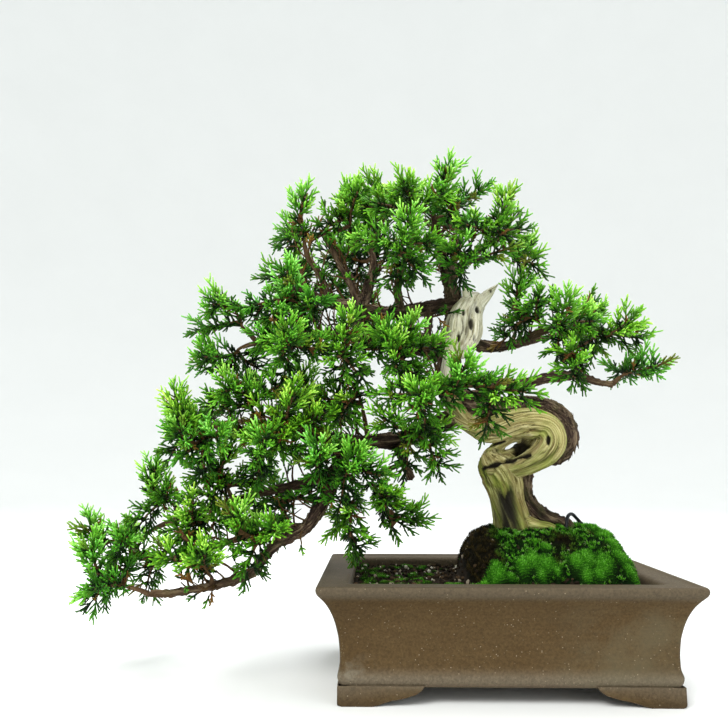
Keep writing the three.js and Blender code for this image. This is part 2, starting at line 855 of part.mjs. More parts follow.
// One spray in one closed mesh: a core from its seat, side cores, and shoots on all other faces.
function makeSpray(spray, random, free, keep) {
  const { from, end, first, path, core } = spray;
  const mesh = { vertices: [], index: [], walls: [] };
  const wanted = Math.round(from.distanceTo(end) / CORE_STEP);
  const segments = THREE.MathUtils.clamp(wanted, FEWEST_SEGMENTS, MOST_SEGMENTS);
  const radii = Array.from({ length: segments }, (_, k) => lerp(CORE_START, CORE_END, (k + 1) / segments));
  const level = levelSide(first);
  for (let i = 0; i < 3; i++) {
    const spoke = level.clone().applyAxisAngle(first, radians(120 * i));
    mesh.vertices.push(from.clone().addScaledVector(spoke, CORE_START));
  }
  mesh.index.push(0, 2, 1);
  mesh.walls.push([0, 2, 1]);
  const faces = growClear(mesh, [0, 1, 2], path, radii);
  const places = radii.map((_, n) => Math.min(1 + Math.floor(SIDE_SPACING * n), segments - 1));
  const sideCores = growSideCores(mesh, faces, spray, places, random, free);
  const tubes = sideCores.map(({ tube }) => tube);
  spray.taken.push(...tubes);
  const dress = (entries, others) => {
    for (const { face, share, along, used } of entries) {
      if (used) continue;
      shoot(mesh, face, along, share, random, (base, tip) => free(base, tip, others), keep);
    }
  };
  for (const { face, k } of faces) {
    if (k === 0) mesh.index.push(...face);
  }
  dress(faces.filter(({ k }) => k > 0), tubes);
  for (const { faces: ownFaces, tube } of sideCores) {
    const others = tubes.filter((other) => other !== tube);
    dress(ownFaces, [...core, ...others]);
  }
  const geometry = new THREE.BufferGeometry();
  const position = mesh.vertices.flatMap((p) => [p.x, p.y, p.z]);
  geometry.setAttribute("position", new THREE.Float32BufferAttribute(position, 3));
  geometry.setIndex(mesh.index);
  return solid(geometry);
}

// Shoots keep clear of the wood, of every other spray and of their neighbours on the same spray.
function makeSprays() {
  const wood = [];
  for (const rows of Object.values(DEAD_STRANDS)) wood.push(...stretches(rows));
  for (const rows of Object.values(LIVE_LIMBS)) wood.push(...stretches(rows));
  for (const { start, end } of twigs) wood.push([start, end, TWIG_RADII[0]]);
  const sprays = SPRAYS.map(([name, seat, tip], number) => {
    const end = V(...tip);
    const first = V().subVectors(twigs[number].end, twigs[number].start).normalize();
    const from = V(...seat).addScaledVector(first, CLEARANCE);
    const lift = V(0, 0, CORE_ARCH * from.distanceTo(end));
    const middle = from.clone().lerp(end, 0.5).add(lift);
    const onwards = V().subVectors(end, from).normalize().add(first).normalize();
    const start = from.clone().addScaledVector(onwards, FIRST_STRETCH);
    const path = [from, start, middle, end];
    const core = path.slice(1).map((point, k) => [path[k], point, CORE_ROOM]);
    const centre = from.clone().lerp(end, 0.5);
    const reach = from.distanceTo(end) / 2 + 40;
    return { name, from, end, first, path, core, taken: [...core], centre, reach };
  });
  return sprays.map((spray, number) => {
    const { from, centre, reach, taken } = spray;
    const nearWood = wood.filter(([p, q, r]) => distance(centre, centre, p, q) < reach + r);
    const woodPastSeat = nearWood.filter(([, q]) => q.distanceTo(from) > 3);
    const rivals = sprays.filter(
      (other) => other !== spray && other.centre.distanceTo(centre) < other.reach + reach,
    );
    const free = (base, tip, own) => {
      if (tip.z < LOWEST_TIP) return false;
      const knee = base.clone().lerp(tip, SHOOT_KNEE);
      const clear = (gap) => ([p, q, r]) =>
        distance(base, knee, p, q) > ROOT_ROOM + r + gap && distance(knee, tip, p, q) > TIP_ROOM + r + gap;
      const woodHere = base.distanceTo(from) < SEAT_REACH ? woodPastSeat : nearWood;
      return (
        woodHere.every(clear(CLEARANCE)) &&
        rivals.every((other) => other.taken.every(clear(CLEARANCE))) &&
        own.every(clear(0))
      );
    };
    const ownTips = [];
    const keep = (base, tip) => {
      const knee = base.clone().lerp(tip, SHOOT_KNEE);
      if (!ownTips.every(([p, q]) => distance(knee, tip, p, q) > NEIGHBOUR_ROOM)) return false;
      ownTips.push([knee, tip]);
      taken.push([base, knee, ROOT_ROOM], [knee, tip, TIP_ROOM]);
      return true;
    };
    return [spray.name, makeSpray(spray, draw(7919 * (number + 1)), free, keep)];
  });
}

// Soil, moss, screens and wire

// Height of the soil at a place: a level bed that rises to a steep-sided mound under the tree.
function soilHeight(x, y) {
  const dx = (x - MOUND_X) / (x < MOUND_X ? MOUND_LEFT : MOUND_RIGHT);
  const dy = y / MOUND_DEPTH;
  const fall = Math.max(0, 1 - Math.abs(dx) ** 8 - Math.abs(dy) ** 1.9);
  const lumps = 0.9 * Math.sin(x * 0.21 + 1.3) * Math.sin(y * 0.27) + 0.6 * Math.sin(x * 0.43 + y * 0.31);
  return SOIL_LEVEL + MOUND_TOP * fall ** 0.85 + lumps;
}

// A solid between two height functions over a grid of places.
function heightSlab(xs, ys, topAt, bottomAt) {
  const index = [];
  const position = [];
  const columns = xs.length;
  for (const at of [topAt, bottomAt]) {
    for (const y of ys) for (const x of xs) position.push(x, y, at(x, y));
  }
  const under = columns * ys.length;
  for (let j = 0; j + 1 < ys.length; j++) {
    for (let i = 0; i + 1 < columns; i++) {
      const a = j * columns + i;
      const b = a + columns;
      index.push(a, a + 1, b + 1, a, b + 1, b);
      index.push(under + a, under + b + 1, under + a + 1, under + a, under + b, under + b + 1);
    }
  }
  const wall = (a, b) => index.push(b, a, under + a, b, under + a, under + b);
  for (let i = 0; i + 1 < columns; i++) {
    wall(i, i + 1);
    wall(under - 1 - i, under - 2 - i);
  }
  for (let j = 0; j + 1 < ys.length; j++) {
    wall((j + 1) * columns, j * columns);
    wall((j + 1) * columns - 1, (j + 2) * columns - 1);
  }
  const geometry = new THREE.BufferGeometry();
  geometry.setAttribute("position", new THREE.Float32BufferAttribute(position, 3));
  geometry.setIndex(index);
  return solid(geometry);
}

const SOIL_X = [-110, -85, -60, -36, -24, -18, -12, -4, 9, 22, 35, 48, 61, 72, 82, 91, 110];
const SOIL_Y = [-80, -60, -49, -38, -27, -14, 0, 14, 28, 44, 60, 80];

function makeSoil(cutters) {
  const bed = heightSlab(SOIL_X, SOIL_Y, soilHeight, () => FLOOR_TOP - 5);
  const cavity = skin(
    potRings([
      [FLOOR_TOP + CLEARANCE, CAVITY_FLOOR_INSET + CLEARANCE, 3],
      [62, RIM_WIDTH + 1 + CLEARANCE, 3],
      [71, RIM_WIDTH + CLEARANCE, 3],
      [130, RIM_WIDTH + CLEARANCE, 3],
    ]),
  );
  let made = bed.intersect(cavity);
  for (const x of [-DRAIN_X, DRAIN_X]) {
    const side = SCREEN_SIDE + 2 * CLEARANCE;
    made = made.subtract(box(x, 0, FLOOR_TOP, side, side, 2 * (SCREEN_THICK + 2 * CLEARANCE)));
  }
  for (const cutter of cutters) made = made.subtract(cutter);
  return largest(made);
}

// The velvety moss skin on the mound: thickest on its front and right, none round the edges of the patch.
const MOSS_X = SOIL_X.filter((x) => x >= -12 && x <= 82);
const MOSS_Y = SOIL_Y.filter((y) => y >= -60 && y <= 14);

function mossThickness(x, y) {
  const broad = 0.75 * Math.sin(x * 0.33 + 0.7) * Math.sin(y * 0.3 + 0.4);
  const fine = 0.4 * Math.sin(x * 0.62 - y * 0.5);
  return CLEARANCE + 0.8 + 1.5 * Math.max(0, 1 + broad + fine);
}

function makeMoss(cutters) {
  const lift = 0.45;
  let made = heightSlab(
    MOSS_X,
    MOSS_Y,
    (x, y) => soilHeight(x, y) + lift + mossThickness(x, y),
    (x, y) => soilHeight(x, y) + lift,
  );
  for (const cutter of cutters) made = made.subtract(cutter);
  return largest(made);
}

function makeWire(growth) {
  const path = new THREE.CatmullRomCurve3([
    V(54, -8, 96),
    V(54, -7, 104),
    V(56.5, -3, 110),
    V(60.5, 1, 111),
    V(64.5, 3, 107.5),
    V(68, 4, 103.8),
  ]);
  const section = new THREE.Shape(
    Array.from({ length: 6 }, (_, i) => {
      const angle = (i / 6) * Math.PI * 2;
      const radius = WIRE_RADIUS + growth;
      return new THREE.Vector2(Math.cos(angle) * radius, Math.sin(angle) * radius);
    }),
  );
  return solid(new THREE.ExtrudeGeometry(section, { steps: 12, extrudePath: path, bevelEnabled: false }));
}

// Scene

function material(color, roughness, metalness = 0) {
  return new THREE.MeshStandardMaterial({ color, roughness, metalness, flatShading: true });
}

const object = new THREE.Group();
const potGroup = new THREE.Group();
const treeGroup = new THREE.Group();
const foliageGroup = new THREE.Group();
object.add(potGroup, treeGroup);
treeGroup.add(foliageGroup);

function place(group, name, made, look) {
  const mesh = new THREE.Mesh(geometryOf(made), look);
  mesh.name = name;
  group.add(mesh);
  return mesh;
}

const deadwood = makeDeadwood(0);
const wideDeadwood = makeDeadwood(CLEARANCE);
const liveWood = largest(makeLiveWood(0).subtract(wideDeadwood));
const wideLiveWood = makeLiveWood(CLEARANCE);
const wideWire = makeWire(CLEARANCE);
const buried = [wideDeadwood, wideLiveWood, wideWire];
const soil = makeSoil(buried);

place(potGroup, "pot", makePot(), material(0x5a442d, 0.8));
for (const [side, x] of [["left", -DRAIN_X], ["right", DRAIN_X]]) {
  const screen = box(x, 0, FLOOR_TOP + CLEARANCE + SCREEN_THICK / 2, SCREEN_SIDE, SCREEN_SIDE, SCREEN_THICK);
  place(potGroup, "drain_screen_" + side, screen, material(0x23262a, 0.6));
}
place(potGroup, "soil", soil, material(0x2c241a, 0.95));
place(potGroup, "moss_mound", makeMoss(buried), material(0x3f7a1c, 0.9));

place(treeGroup, "deadwood", deadwood, material(0xc9bd8b, 0.75));
place(treeGroup, "live_wood", liveWood, material(0x4a352b, 0.9));
place(treeGroup, "anchor_wire", makeWire(0), material(0x1c1d20, 0.5, 0.6));
for (const [name, made] of makeSprays()) {
  place(foliageGroup, "foliage_" + name, made, material(0x3f8a24, 0.7));
}

// The origin goes to the bottom centre of the whole object.
const bounds = new THREE.Box3().setFromObject(object);
object.position.set(-(bounds.min.x + bounds.max.x) / 2, -(bounds.min.y + bounds.max.y) / 2, -bounds.min.z);

export default object;
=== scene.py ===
"""Chinese juniper bonsai in its clay pot: fine foliage, wood, moss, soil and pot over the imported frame."""

import math

import bmesh
import bpy
import numpy as np
from mathutils import Matrix, Vector, noise


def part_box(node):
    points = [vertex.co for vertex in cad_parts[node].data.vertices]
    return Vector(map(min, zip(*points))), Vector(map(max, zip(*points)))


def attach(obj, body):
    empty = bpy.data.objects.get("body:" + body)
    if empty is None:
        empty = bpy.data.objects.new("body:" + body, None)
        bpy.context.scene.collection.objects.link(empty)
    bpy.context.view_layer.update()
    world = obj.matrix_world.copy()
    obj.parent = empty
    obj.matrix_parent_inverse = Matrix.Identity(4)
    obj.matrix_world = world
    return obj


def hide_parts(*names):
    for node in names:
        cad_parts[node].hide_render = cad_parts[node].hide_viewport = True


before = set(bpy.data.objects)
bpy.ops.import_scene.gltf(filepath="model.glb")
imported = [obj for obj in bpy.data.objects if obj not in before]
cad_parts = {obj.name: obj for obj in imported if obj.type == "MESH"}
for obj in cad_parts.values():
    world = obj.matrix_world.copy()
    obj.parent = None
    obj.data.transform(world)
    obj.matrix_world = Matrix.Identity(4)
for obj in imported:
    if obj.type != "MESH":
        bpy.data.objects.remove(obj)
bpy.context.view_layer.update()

# The pot's frame, in millimetres, is the CAD's own: the middle of the pot's underside is its origin.
POT_LENGTH = 240.0
POT_DEPTH = 165.0
POT_TOP = 73.0
FOOT_HEIGHT = 11.0
FOOT_WALL = 9.0
FOOT_INSET = 13.2
FOOT_STEP_IN = 0.2
LONG_FOOT = 54
SHORT_FOOT = 44
FLOOR_TOP = 18.0
RIM_WIDTH = 21.0
CAVITY_FLOOR_INSET = RIM_WIDTH + 2.5
DRAIN_RADIUS = 10.0
DRAIN_X = 48.0
SCREEN_SIDE = 30.0
SCREEN_THICK = 1.2
SCREEN_THREADS = 14
THREAD_RADIUS = 0.55
GAP = 0.35
SOIL_LEVEL = 66.0
SOIL_UNDERSIDE = 30.0
MOUND_TOP = 34.0
MOUND_X = 35.0
MOUND_LEFT = 58.0
MOUND_RIGHT = 61.0
MOUND_DEPTH = 62.0
MOSS_LEFT, MOSS_RIGHT, MOSS_FRONT, MOSS_BACK = -23.0, 92.0, -60.5, 46.0
MOSS_STEP = 0.95
WIRE_RADIUS = 1.25
WIRE_PATH = [(54, -8, 96), (54, -7, 104), (56.5, -3, 110), (60.5, 1, 111), (64.5, 3, 107.5), (68, 4, 103.8)]

# The pot's profiles: rows of height, inset from the outermost edge, and corner radius.
OUTER_PROFILE = [(FOOT_HEIGHT, 15.5, 3), (12.5, 14.2, 3), (16, 13, 3.5), (18.5, 13.2, 3.5),
                 (21, 14.6, 3), (30, 14.7, 3), (40, 13.8, 3), (48, 12, 3), (54, 10, 3), (59, 7.6, 3),
                 (63, 5, 3), (66, 2.4, 3), (67.5, 0.6, 3), (69, 0, 3), (72.2, 0, 3), (73, 0.8, 3)]
RIM_PROFILE = [(73, 3.9, 3), (71.7, 4.6, 3), (72.1, 5.8, 3), (72.1, RIM_WIDTH - 1.2, 3), (71, RIM_WIDTH, 3),
               (62, RIM_WIDTH + 1, 3)]

# A foot's outline: inset from its outer end, and height.
FOOT_OGEE = [(0, FOOT_HEIGHT + 1), (0, 2.0), (0.6, 0.6), (2, 0), (21, 0), (25, 0.6), (29, 1.9),
             (34, 3.4), (40, 4.5), (44, 5.6)]

# Sizes of the fine foliage, in millimetres.
AXIS_RADIUS = 0.8
SIDE_RADIUS = 0.66
FORK_RADIUS = 0.6
SIDE_LENGTH = 8.6
SHORTEST_SHOOT = 3.2
GOLDEN_ANGLE = 2.4
# How many side branchlets and forks a plume has: on a shoot, on a bare face and on a fine twig.
SHOOT_PLUME = (8, 4)
TUFT_PLUME = (3, 1)
TWIG_PLUME = (5, 2)
DRY_SHARE = 0.06
TWIGLET_STEP = 7

# Where the random draws of each piece start.
SPRAY_SEED = 1200
FLAKE_SEED = 900
TWIGLET_SEED = 733
SOIL_SEED = 77
MOSS_SEED = 311
TUFT_SEED = 509

# The dead wood's skin: the strands' sides and step, the melt's grain, and the depths of its relief.
STRAND_SIDES = 24
STRAND_STEP = 1.5
MELT_GRAIN = 0.75
FLUTE_DEPTH = 1.8
GROOVE_DEPTH = 0.9
FIBRE_DEPTH = 0.25
CRACK_DEPTH = 1.6

# The bark: sides and steps of the vein and of the limbs, and its relief on thick and on thin limbs.
VEIN_SIDES = 36
VEIN_STEP = 1.1
LIMB_STEP = 1.6
THICK_RELIEF = 1.8
THIN_RELIEF = 0.8

# The soil's grid, its number of grains, and the numbers of blades and stars in the moss.
SOIL_COLUMNS = 125
SOIL_ROWS = 79
SOIL_GRAINS = 2200
VELVET_BLADES = 15000
STARS = 2500
STAR_BLADES = 7

# The thicker, ragged bark on the loop's outer side: its middle (x, z), half widths and thickness.
LOOP_BARK = ((55, 174), (15, 20), 2.2)

# Loose bark flakes for each millimetre of a limb's length and radius.
FLAKES = 0.6

# Hollows in the dead wood: the place, half widths, how deep the surface sinks and how dark the painted shade
# in it is.
# They are the trunk's open side, a knot's eye, a slit in the loop and holes in the broken top.
HOLLOWS = [((26, 5, 158), (9, 11, 7.5), -1.6, 0.98), ((28, 2, 169), (11, 12, 6), -2.6, 0.35),
           ((-2, -8, 172.5), (3.4, 6, 1.7), 1.3, 0.95),
           ((40.5, -18, 164), (1.7, 6, 4.2), 2.6, 1.0), ((-21, -9, 240), (1.6, 5, 4), 2.2, 0.9),
           ((-11, -10, 251), (2, 5, 5), 2.4, 0.9), ((-17, -10, 259), (1.4, 5, 3), 2.0, 0.8),
           ((-6, -8, 262), (1.8, 5, 3.4), 2.2, 0.9), ((-9, -10, 239), (1.5, 5, 5.5), 2.0, 0.8),
           ((-13, 6, 250), (2, 5, 6), 2.2, 0.8), ((5, -6, 277), (1.2, 4, 2), 1.2, 0.8)]
# The dark strip at the trunk's foot: its place, its slope and its half width.
STAIN_X = 12.8
STAIN_SLOPE = -0.12
STAIN_WIDTH = 7.4

# Creases on the trunk's front, with painted shade: a line of x and z, its half width, its depth and how dark
# the painted shade is.
CREASES = [(((-5, 143.5), (3, 146.5), (11, 148), (20, 151.5), (28, 154)), 2.4, 1.8, 1.0),
           (((-6, 154), (1, 159.5), (6.5, 162), (13, 164)), 1.2, 0.8, 1.0),
           (((2, 173.8), (6.5, 171.4), (8.8, 168.4), (5, 167.2), (0, 168.2), (-4, 171)), 1.1, 0.6, 0.6)]

# Velvet cushions of moss: x, y, radius and height, in front, down the right side and behind.
CUSHIONS = [(13, -52, 6.5, 3.8), (20, -49, 7.5, 4.8), (28.5, -51, 7.5, 4.6), (34, -53, 4.5, 3),
            (49, -50, 7.5, 4.8), (56, -48, 8, 5.4), (65.5, -51, 8, 5), (24, -56, 5, 3),
            (53, -56, 6, 3.4), (61, -56, 5, 3), (-4.6, -54, 8, 3.6), (-13, -56, 4.5, 2.6),
            (-20, -57, 4, 2.4), (4, -57, 3.5, 2.4), (32, -38, 4.5, 2.6), (76, -22, 7, 3.6),
            (79, -32, 7, 3.8), (80, -42, 7, 3.8), (73, -11, 6.5, 3.4), (83, -51, 6, 3.4),
            (86, -38, 4.5, 2.8), (70, 0, 7, 3), (66, 11, 7, 3.2), (77, 8, 6, 3), (83, -10, 5, 2.6),
            (52, 28, 8, 3.6), (36, 33, 7, 3.2), (68, 28, 7, 3.2), (18, 31, 6, 3)]

# Patches of level soil with moss tufts: left, right, front and back edge, and how many tufts.
TUFT_REGIONS = [((-94, -20, -57, -30), 46), ((-96, -30, -30, 55), 40), ((-20, 30, -60, -55), 5),
                ((-20, 92, 20, 56), 30), ((70, 95, -56, 20), 12)]

# The camera, in the pot's frame, and the picture it is fitted to.
CAMERA_PLACE = (-82.0, -523.0, 147.0)
CAMERA_YAW = math.radians(-1.03)
CAMERA_PITCH = math.radians(8.157)
CAMERA_FOCAL = 700.0
FRAME_SIDE = 728.0

# The floor, in metres: its middle disc, how far it is level, and the bend in which it rises.
FLOOR_SIDES = 72
FLOOR_MIDDLE = 0.7
FLOOR_FLAT = 2.0
FLOOR_BEND = 1.8
FLOOR_TOP_EDGE = 3.9

low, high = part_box("pot")
SHIFT = np.array([(low.x + high.x) * 500.0, (low.y + high.y) * 500.0, 0.0])


def metres(points):
    return (np.asarray(points, float) + SHIFT) * 0.001


def unit(vectors):
    length = np.linalg.norm(vectors, axis=-1, keepdims=True)
    return vectors / np.maximum(length, 1e-9)


def clamped(values):
    return np.clip(values, 0, 1)


def any_turn(rng, count=None):
    return rng.uniform(0, 2 * math.pi, count)


def travel_along(samples):
    steps = np.linalg.norm(np.diff(samples[:, :3], axis=0), axis=1)
    return np.concatenate([[0.0], np.cumsum(steps)])


def in_scene(name, data):
    obj = bpy.data.objects.new(name, data)
    bpy.context.scene.collection.objects.link(obj)
    return obj


def finished(form, name):
    mesh = bpy.data.meshes.new(name)
    form.to_mesh(mesh)
    form.free()
    return mesh


def evaluated(obj):
    return bpy.data.meshes.new_from_object(obj.evaluated_get(bpy.context.evaluated_depsgraph_get()))


def join_loops(form, loops, smooth=False):
    """Faces between each loop of corners and the next."""
    count = len(loops[0])
    for a, b in zip(loops[:-1], loops[1:]):
        for i in range(count):
            j = (i + 1) % count
            form.faces.new((a[i], a[j], b[j], b[i])).smooth = smooth


# Meshes


def soup(points, quads=None, triangles=None, slot=0, **values):
    """A bag of corners and faces. Values are one number, or one vector, for each corner."""
    quads = np.zeros((0, 4), int) if quads is None else np.asarray(quads, int).reshape(-1, 4)
    triangles = np.zeros((0, 3), int) if triangles is None else np.asarray(triangles, int).reshape(-1, 3)
    slots = np.full(len(quads) + len(triangles), slot)
    return {"points": np.asarray(points, float).reshape(-1, 3), "quads": quads, "triangles": triangles,
            "quad_slots": slots[: len(quads)], "triangle_slots": slots[len(quads):], "values": values}


def together(soups):
    points, quads, triangles, quad_slots, triangle_slots = [], [], [], [], []
    offset = 0
    for s in soups:
        points.append(s["points"])
        quads.append(s["quads"] + offset)
        triangles.append(s["triangles"] + offset)
        quad_slots.append(s["quad_slots"])
        triangle_slots.append(s["triangle_slots"])
        offset += len(s["points"])
    names = soups[0]["values"].keys()
    values = {name: np.concatenate([s["values"][name] for s in soups]) for name in names}
    return {"points": np.concatenate(points), "quads": np.concatenate(quads),
            "triangles": np.concatenate(triangles), "quad_slots": np.concatenate(quad_slots),
            "triangle_slots": np.concatenate(triangle_slots), "values": values}


def give(mesh, **values):
    """Named values for a mesh's corners, which its material reads."""
    for key, value in values.items():
        value = np.asarray(value, np.float32)
        kind, member = ("FLOAT_VECTOR", "vector") if value.ndim == 2 else ("FLOAT", "value")
        mesh.attributes.new(key, kind, "POINT").data.foreach_set(member, value.ravel())


def mesh_of(name, s):
    mesh = bpy.data.meshes.new(name)
    points = metres(s["points"])
    quads, triangles = s["quads"], s["triangles"]
    corners = np.concatenate([quads.ravel(), triangles.ravel()]).astype(np.int32)
    starts = np.concatenate([np.arange(len(quads)) * 4, 4 * len(quads) + np.arange(len(triangles)) * 3])
    mesh.vertices.add(len(points))
    mesh.vertices.foreach_set("co", points.astype(np.float32).ravel())
    mesh.loops.add(len(corners))
    mesh.loops.foreach_set("vertex_index", corners)
    mesh.polygons.add(len(starts))
    mesh.polygons.foreach_set("loop_start", starts.astype(np.int32))
    slots = np.concatenate([s["quad_slots"], s["triangle_slots"]]).astype(np.int32)
    mesh.polygons.foreach_set("material_index", slots)
    mesh.polygons.foreach_set("use_smooth", np.ones(len(starts), bool))
    mesh.update(calc_edges=True)
    mesh.validate()
    give(mesh, **s["values"])
    return mesh


def piece(name, mesh, materials, slot, *nodes):
    """A piece of the object that rides with it and stands for the named nodes."""
    for material in materials:
        mesh.materials.append(material)
    obj = in_scene(name, mesh)
    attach(obj, "root")
    if nodes:
        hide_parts(*nodes)
    return obj


def tubes(paths, radii, sides, start=0.0, slot=0, **values):
    """Many tubes at once: paths is tubes x rings x 3, radii is tubes x rings. Each ends in a rounded tip.
    Values are one number for each ring of each tube."""
    paths = np.asarray(paths, float)
    radii = np.asarray(radii, float)
    count, rings = radii.shape
    along = unit(np.gradient(paths, axis=1))
    mean = unit(paths[:, -1] - paths[:, 0])
    reference = np.where(np.abs(mean[:, 2:3]) < 0.8, [[0.0, 0.0, 1.0]], [[0.0, -1.0, 0.0]])
    side = unit(np.cross(along, reference[:, None, :]))
    up = np.cross(along, side)
    angle = start + np.arange(sides) / sides * 2 * math.pi
    ring = (side[:, :, None, :] * np.cos(angle)[None, None, :, None]
            + up[:, :, None, :] * np.sin(angle)[None, None, :, None])
    body = paths[:, :, None, :] + ring * radii[:, :, None, None]
    tip = paths[:, -1] + along[:, -1] * radii[:, -1:] * 0.9
    block = rings * sides + 1
    points = np.concatenate([body.reshape(count, -1, 3), tip[:, None, :]], axis=1)
    base = np.arange(count)[:, None, None] * block
    k = np.arange(rings - 1)[None, :, None] * sides
    i = np.arange(sides)[None, None, :]
    j = (i + 1) % sides
    quads = np.stack([base + k + i, base + k + sides + i, base + k + sides + j, base + k + j], axis=-1)
    last = np.arange(count)[:, None] * block + (rings - 1) * sides
    apex = np.broadcast_to(np.arange(count)[:, None] * block + rings * sides, (count, sides))
    triangles = np.stack([last + i[0], apex, last + j[0]], axis=-1)
    spread = {}
    for key, value in values.items():
        value = np.asarray(value, float)
        full = np.repeat(value, sides, axis=1)
        spread[key] = np.concatenate([full, value[:, -1:]], axis=1).ravel()
    return soup(points.reshape(-1, 3), quads.reshape(-1, 4), triangles.reshape(-1, 3), slot, **spread)


# Materials


class Sheet:
    """A short way to wire shader nodes."""

    def __init__(self, name):
        self.material = bpy.data.materials.new(name)
        self.material.use_nodes = True
        self.tree = self.material.node_tree
        self.shader = self.tree.nodes["Principled BSDF"]

    def node(self, kind, inputs=None, **settings):
        made = self.tree.nodes.new(kind)
        for key, value in settings.items():
            setattr(made, key, value)
        for key, value in (inputs or {}).items():
            self.place(made.inputs[key], value)
        return made

    def link(self, source, target):
        self.tree.links.new(source, target)

    def place(self, socket, value):
        if hasattr(value, "is_output"):
            self.link(value, socket)
        else:
            socket.default_value = value

    def value(self, name):
        return self.node("ShaderNodeAttribute", attribute_name=name).outputs["Fac"]

    def vector(self, name):
        return self.node("ShaderNodeAttribute", attribute_name=name).outputs["Vector"]

    def spot(self):
        return self.node("ShaderNodeTexCoord").outputs["Object"]

    def stretch(self, vector, scale):
        return self.node("ShaderNodeMapping", {"Vector": vector, "Scale": scale}).outputs["Vector"]

    def noise(self, vector, scale, detail=4.0, rough=0.55, warp=0.0):
        inputs = {"Vector": vector, "Scale": scale, "Detail": detail, "Roughness": rough, "Distortion": warp}
        return self.node("ShaderNodeTexNoise", inputs).outputs["Fac"]

    def cells(self, vector, scale):
        made = self.node("ShaderNodeTexVoronoi", {"Vector": vector, "Scale": scale}, feature="F1")
        return made.outputs["Distance"]

    def ramp(self, factor, stops):
        made = self.node("ShaderNodeValToRGB")
        ramp = made.color_ramp
        while len(ramp.elements) < len(stops):
            ramp.elements.new(0.5)
        for element, (at, colour) in zip(ramp.elements, stops):
            element.position = at
            if not hasattr(colour, "__len__"):
                colour = (colour, colour, colour)
            element.color = (*colour, 1.0)
        self.link(factor, made.inputs["Fac"])
        return made.outputs["Color"]

    def rise(self, factor, low, high, top=1.0):
        return self.ramp(factor, [(low, 0.0), (high, top)])

    def mix(self, factor, a, b, kind="MIX"):
        a, b = [(*value, 1.0) if isinstance(value, tuple) else value for value in (a, b)]
        made = self.node("ShaderNodeMix", {0: factor, 6: a, 7: b}, data_type="RGBA", blend_type=kind)
        return made.outputs[2]

    def maths(self, kind, a, b=0.5, clamp=False):
        return self.node("ShaderNodeMath", {0: a, 1: b}, operation=kind, use_clamp=clamp).outputs[0]

    def times(self, a, b):
        return self.maths("MULTIPLY", a, b)

    def tinted(self, colour, tint):
        return self.mix(1.0, colour, tint, "MULTIPLY")

    def bump(self, height, strength, distance):
        inputs = {"Height": height, "Strength": strength, "Distance": distance}
        return self.node("ShaderNodeBump", inputs).outputs["Normal"]

    def done(self, colour, roughness, normal=None, specular=0.5):
        self.place(self.shader.inputs["Base Color"], colour)
        self.place(self.shader.inputs["Roughness"], roughness)
        self.shader.inputs["Specular IOR Level"].default_value = specular
        if normal is not None:
            self.link(normal, self.shader.inputs["Normal"])
        return self.material


def foliage_material():
    s = Sheet("scale_foliage")
    age = s.value("age")
    tone = s.value("tone")
    along = s.value("along")
    # Age and painted shade: near black for the painted shade inside the spray, pale green at the young tips,
    # which also carry painted light.
    green = s.ramp(age, [(0.0, (0.001, 0.004, 0.001)), (0.3, (0.004, 0.02, 0.001)),
                         (0.56, (0.05, 0.19, 0.007)), (0.8, (0.16, 0.47, 0.026)), (1.0, (0.46, 0.86, 0.16))])
    tinted = s.tinted(green, s.mix(tone, (0.72, 0.97, 1.15), (1.28, 1.06, 0.65)))
    dry = s.mix(s.ramp(age, [(0.2, 0.3), (1.0, 1.0)]), (0.02, 0.008, 0.002), (0.36, 0.15, 0.035))
    green = s.mix(s.value("dry"), tinted, dry)
    scales = s.maths("FRACT", s.times(along, 0.85))
    shade = s.ramp(scales, [(0.0, 0.5), (0.25, 1.0), (1.0, 1.1)])
    green = s.mix(0.6, green, s.tinted(green, shade))
    normal = s.bump(scales, 0.35, 0.0002)
    s.shader.inputs["Subsurface Weight"].default_value = 0.1
    s.shader.inputs["Subsurface Scale"].default_value = 0.001
    return s.done(green, 0.5, normal, 0.12)


def twig_material():
    s = Sheet("foliage_twig")
    spot = s.spot()
    grain = s.noise(spot, 420.0, 5.0)
    colour = s.ramp(grain, [(0.3, (0.03, 0.017, 0.008)), (0.55, (0.1, 0.055, 0.022)),
                            (0.75, (0.16, 0.1, 0.04))])
    return s.done(colour, 0.75, s.bump(grain, 0.5, 0.0005), 0.1)


def bark_material():
    s = Sheet("juniper_bark")
    grain = s.vector("grain")
    plates = s.noise(s.stretch(grain, (0.34, 0.34, 0.06)), 1.0, 6.0, 0.62, 0.6)
    fibres = s.noise(s.stretch(grain, (1.6, 1.6, 0.11)), 1.0, 4.0, 0.6)
    flakes = s.ramp(plates, [(0.38, (0.007, 0.005, 0.005)), (0.46, (0.032, 0.021, 0.018)),
                             (0.54, (0.1, 0.068, 0.048)), (0.64, (0.3, 0.23, 0.14))])
    loose = s.maths("GREATER_THAN", s.value("thick"), 1.5)
    tan = s.ramp(fibres, [(0.4, (0.06, 0.04, 0.026)), (0.62, (0.32, 0.25, 0.15))])
    flakes = s.mix(s.times(loose, 0.7), flakes, tan)
    tinted = s.mix(s.rise(fibres, 0.35, 0.7), flakes, (0.12, 0.075, 0.045))
    colour = s.mix(0.35, flakes, tinted)
    mossy = s.rise(s.noise(s.spot(), 60.0, 4.0), 0.52, 0.66, 0.5)
    colour = s.mix(mossy, colour, (0.05, 0.06, 0.018))
    young = s.ramp(s.value("thick"), [(0.1, (0.2, 0.11, 0.045)), (0.3, (0.08, 0.05, 0.028))])
    slim = s.ramp(s.value("thick"), [(0.12, 0.6), (0.4, 0.0)])
    colour = s.mix(slim, colour, young)
    height = s.maths("ADD", plates, s.times(fibres, 0.45))
    return s.done(colour, 0.88, s.bump(height, 1.0, 0.003), 0.08)


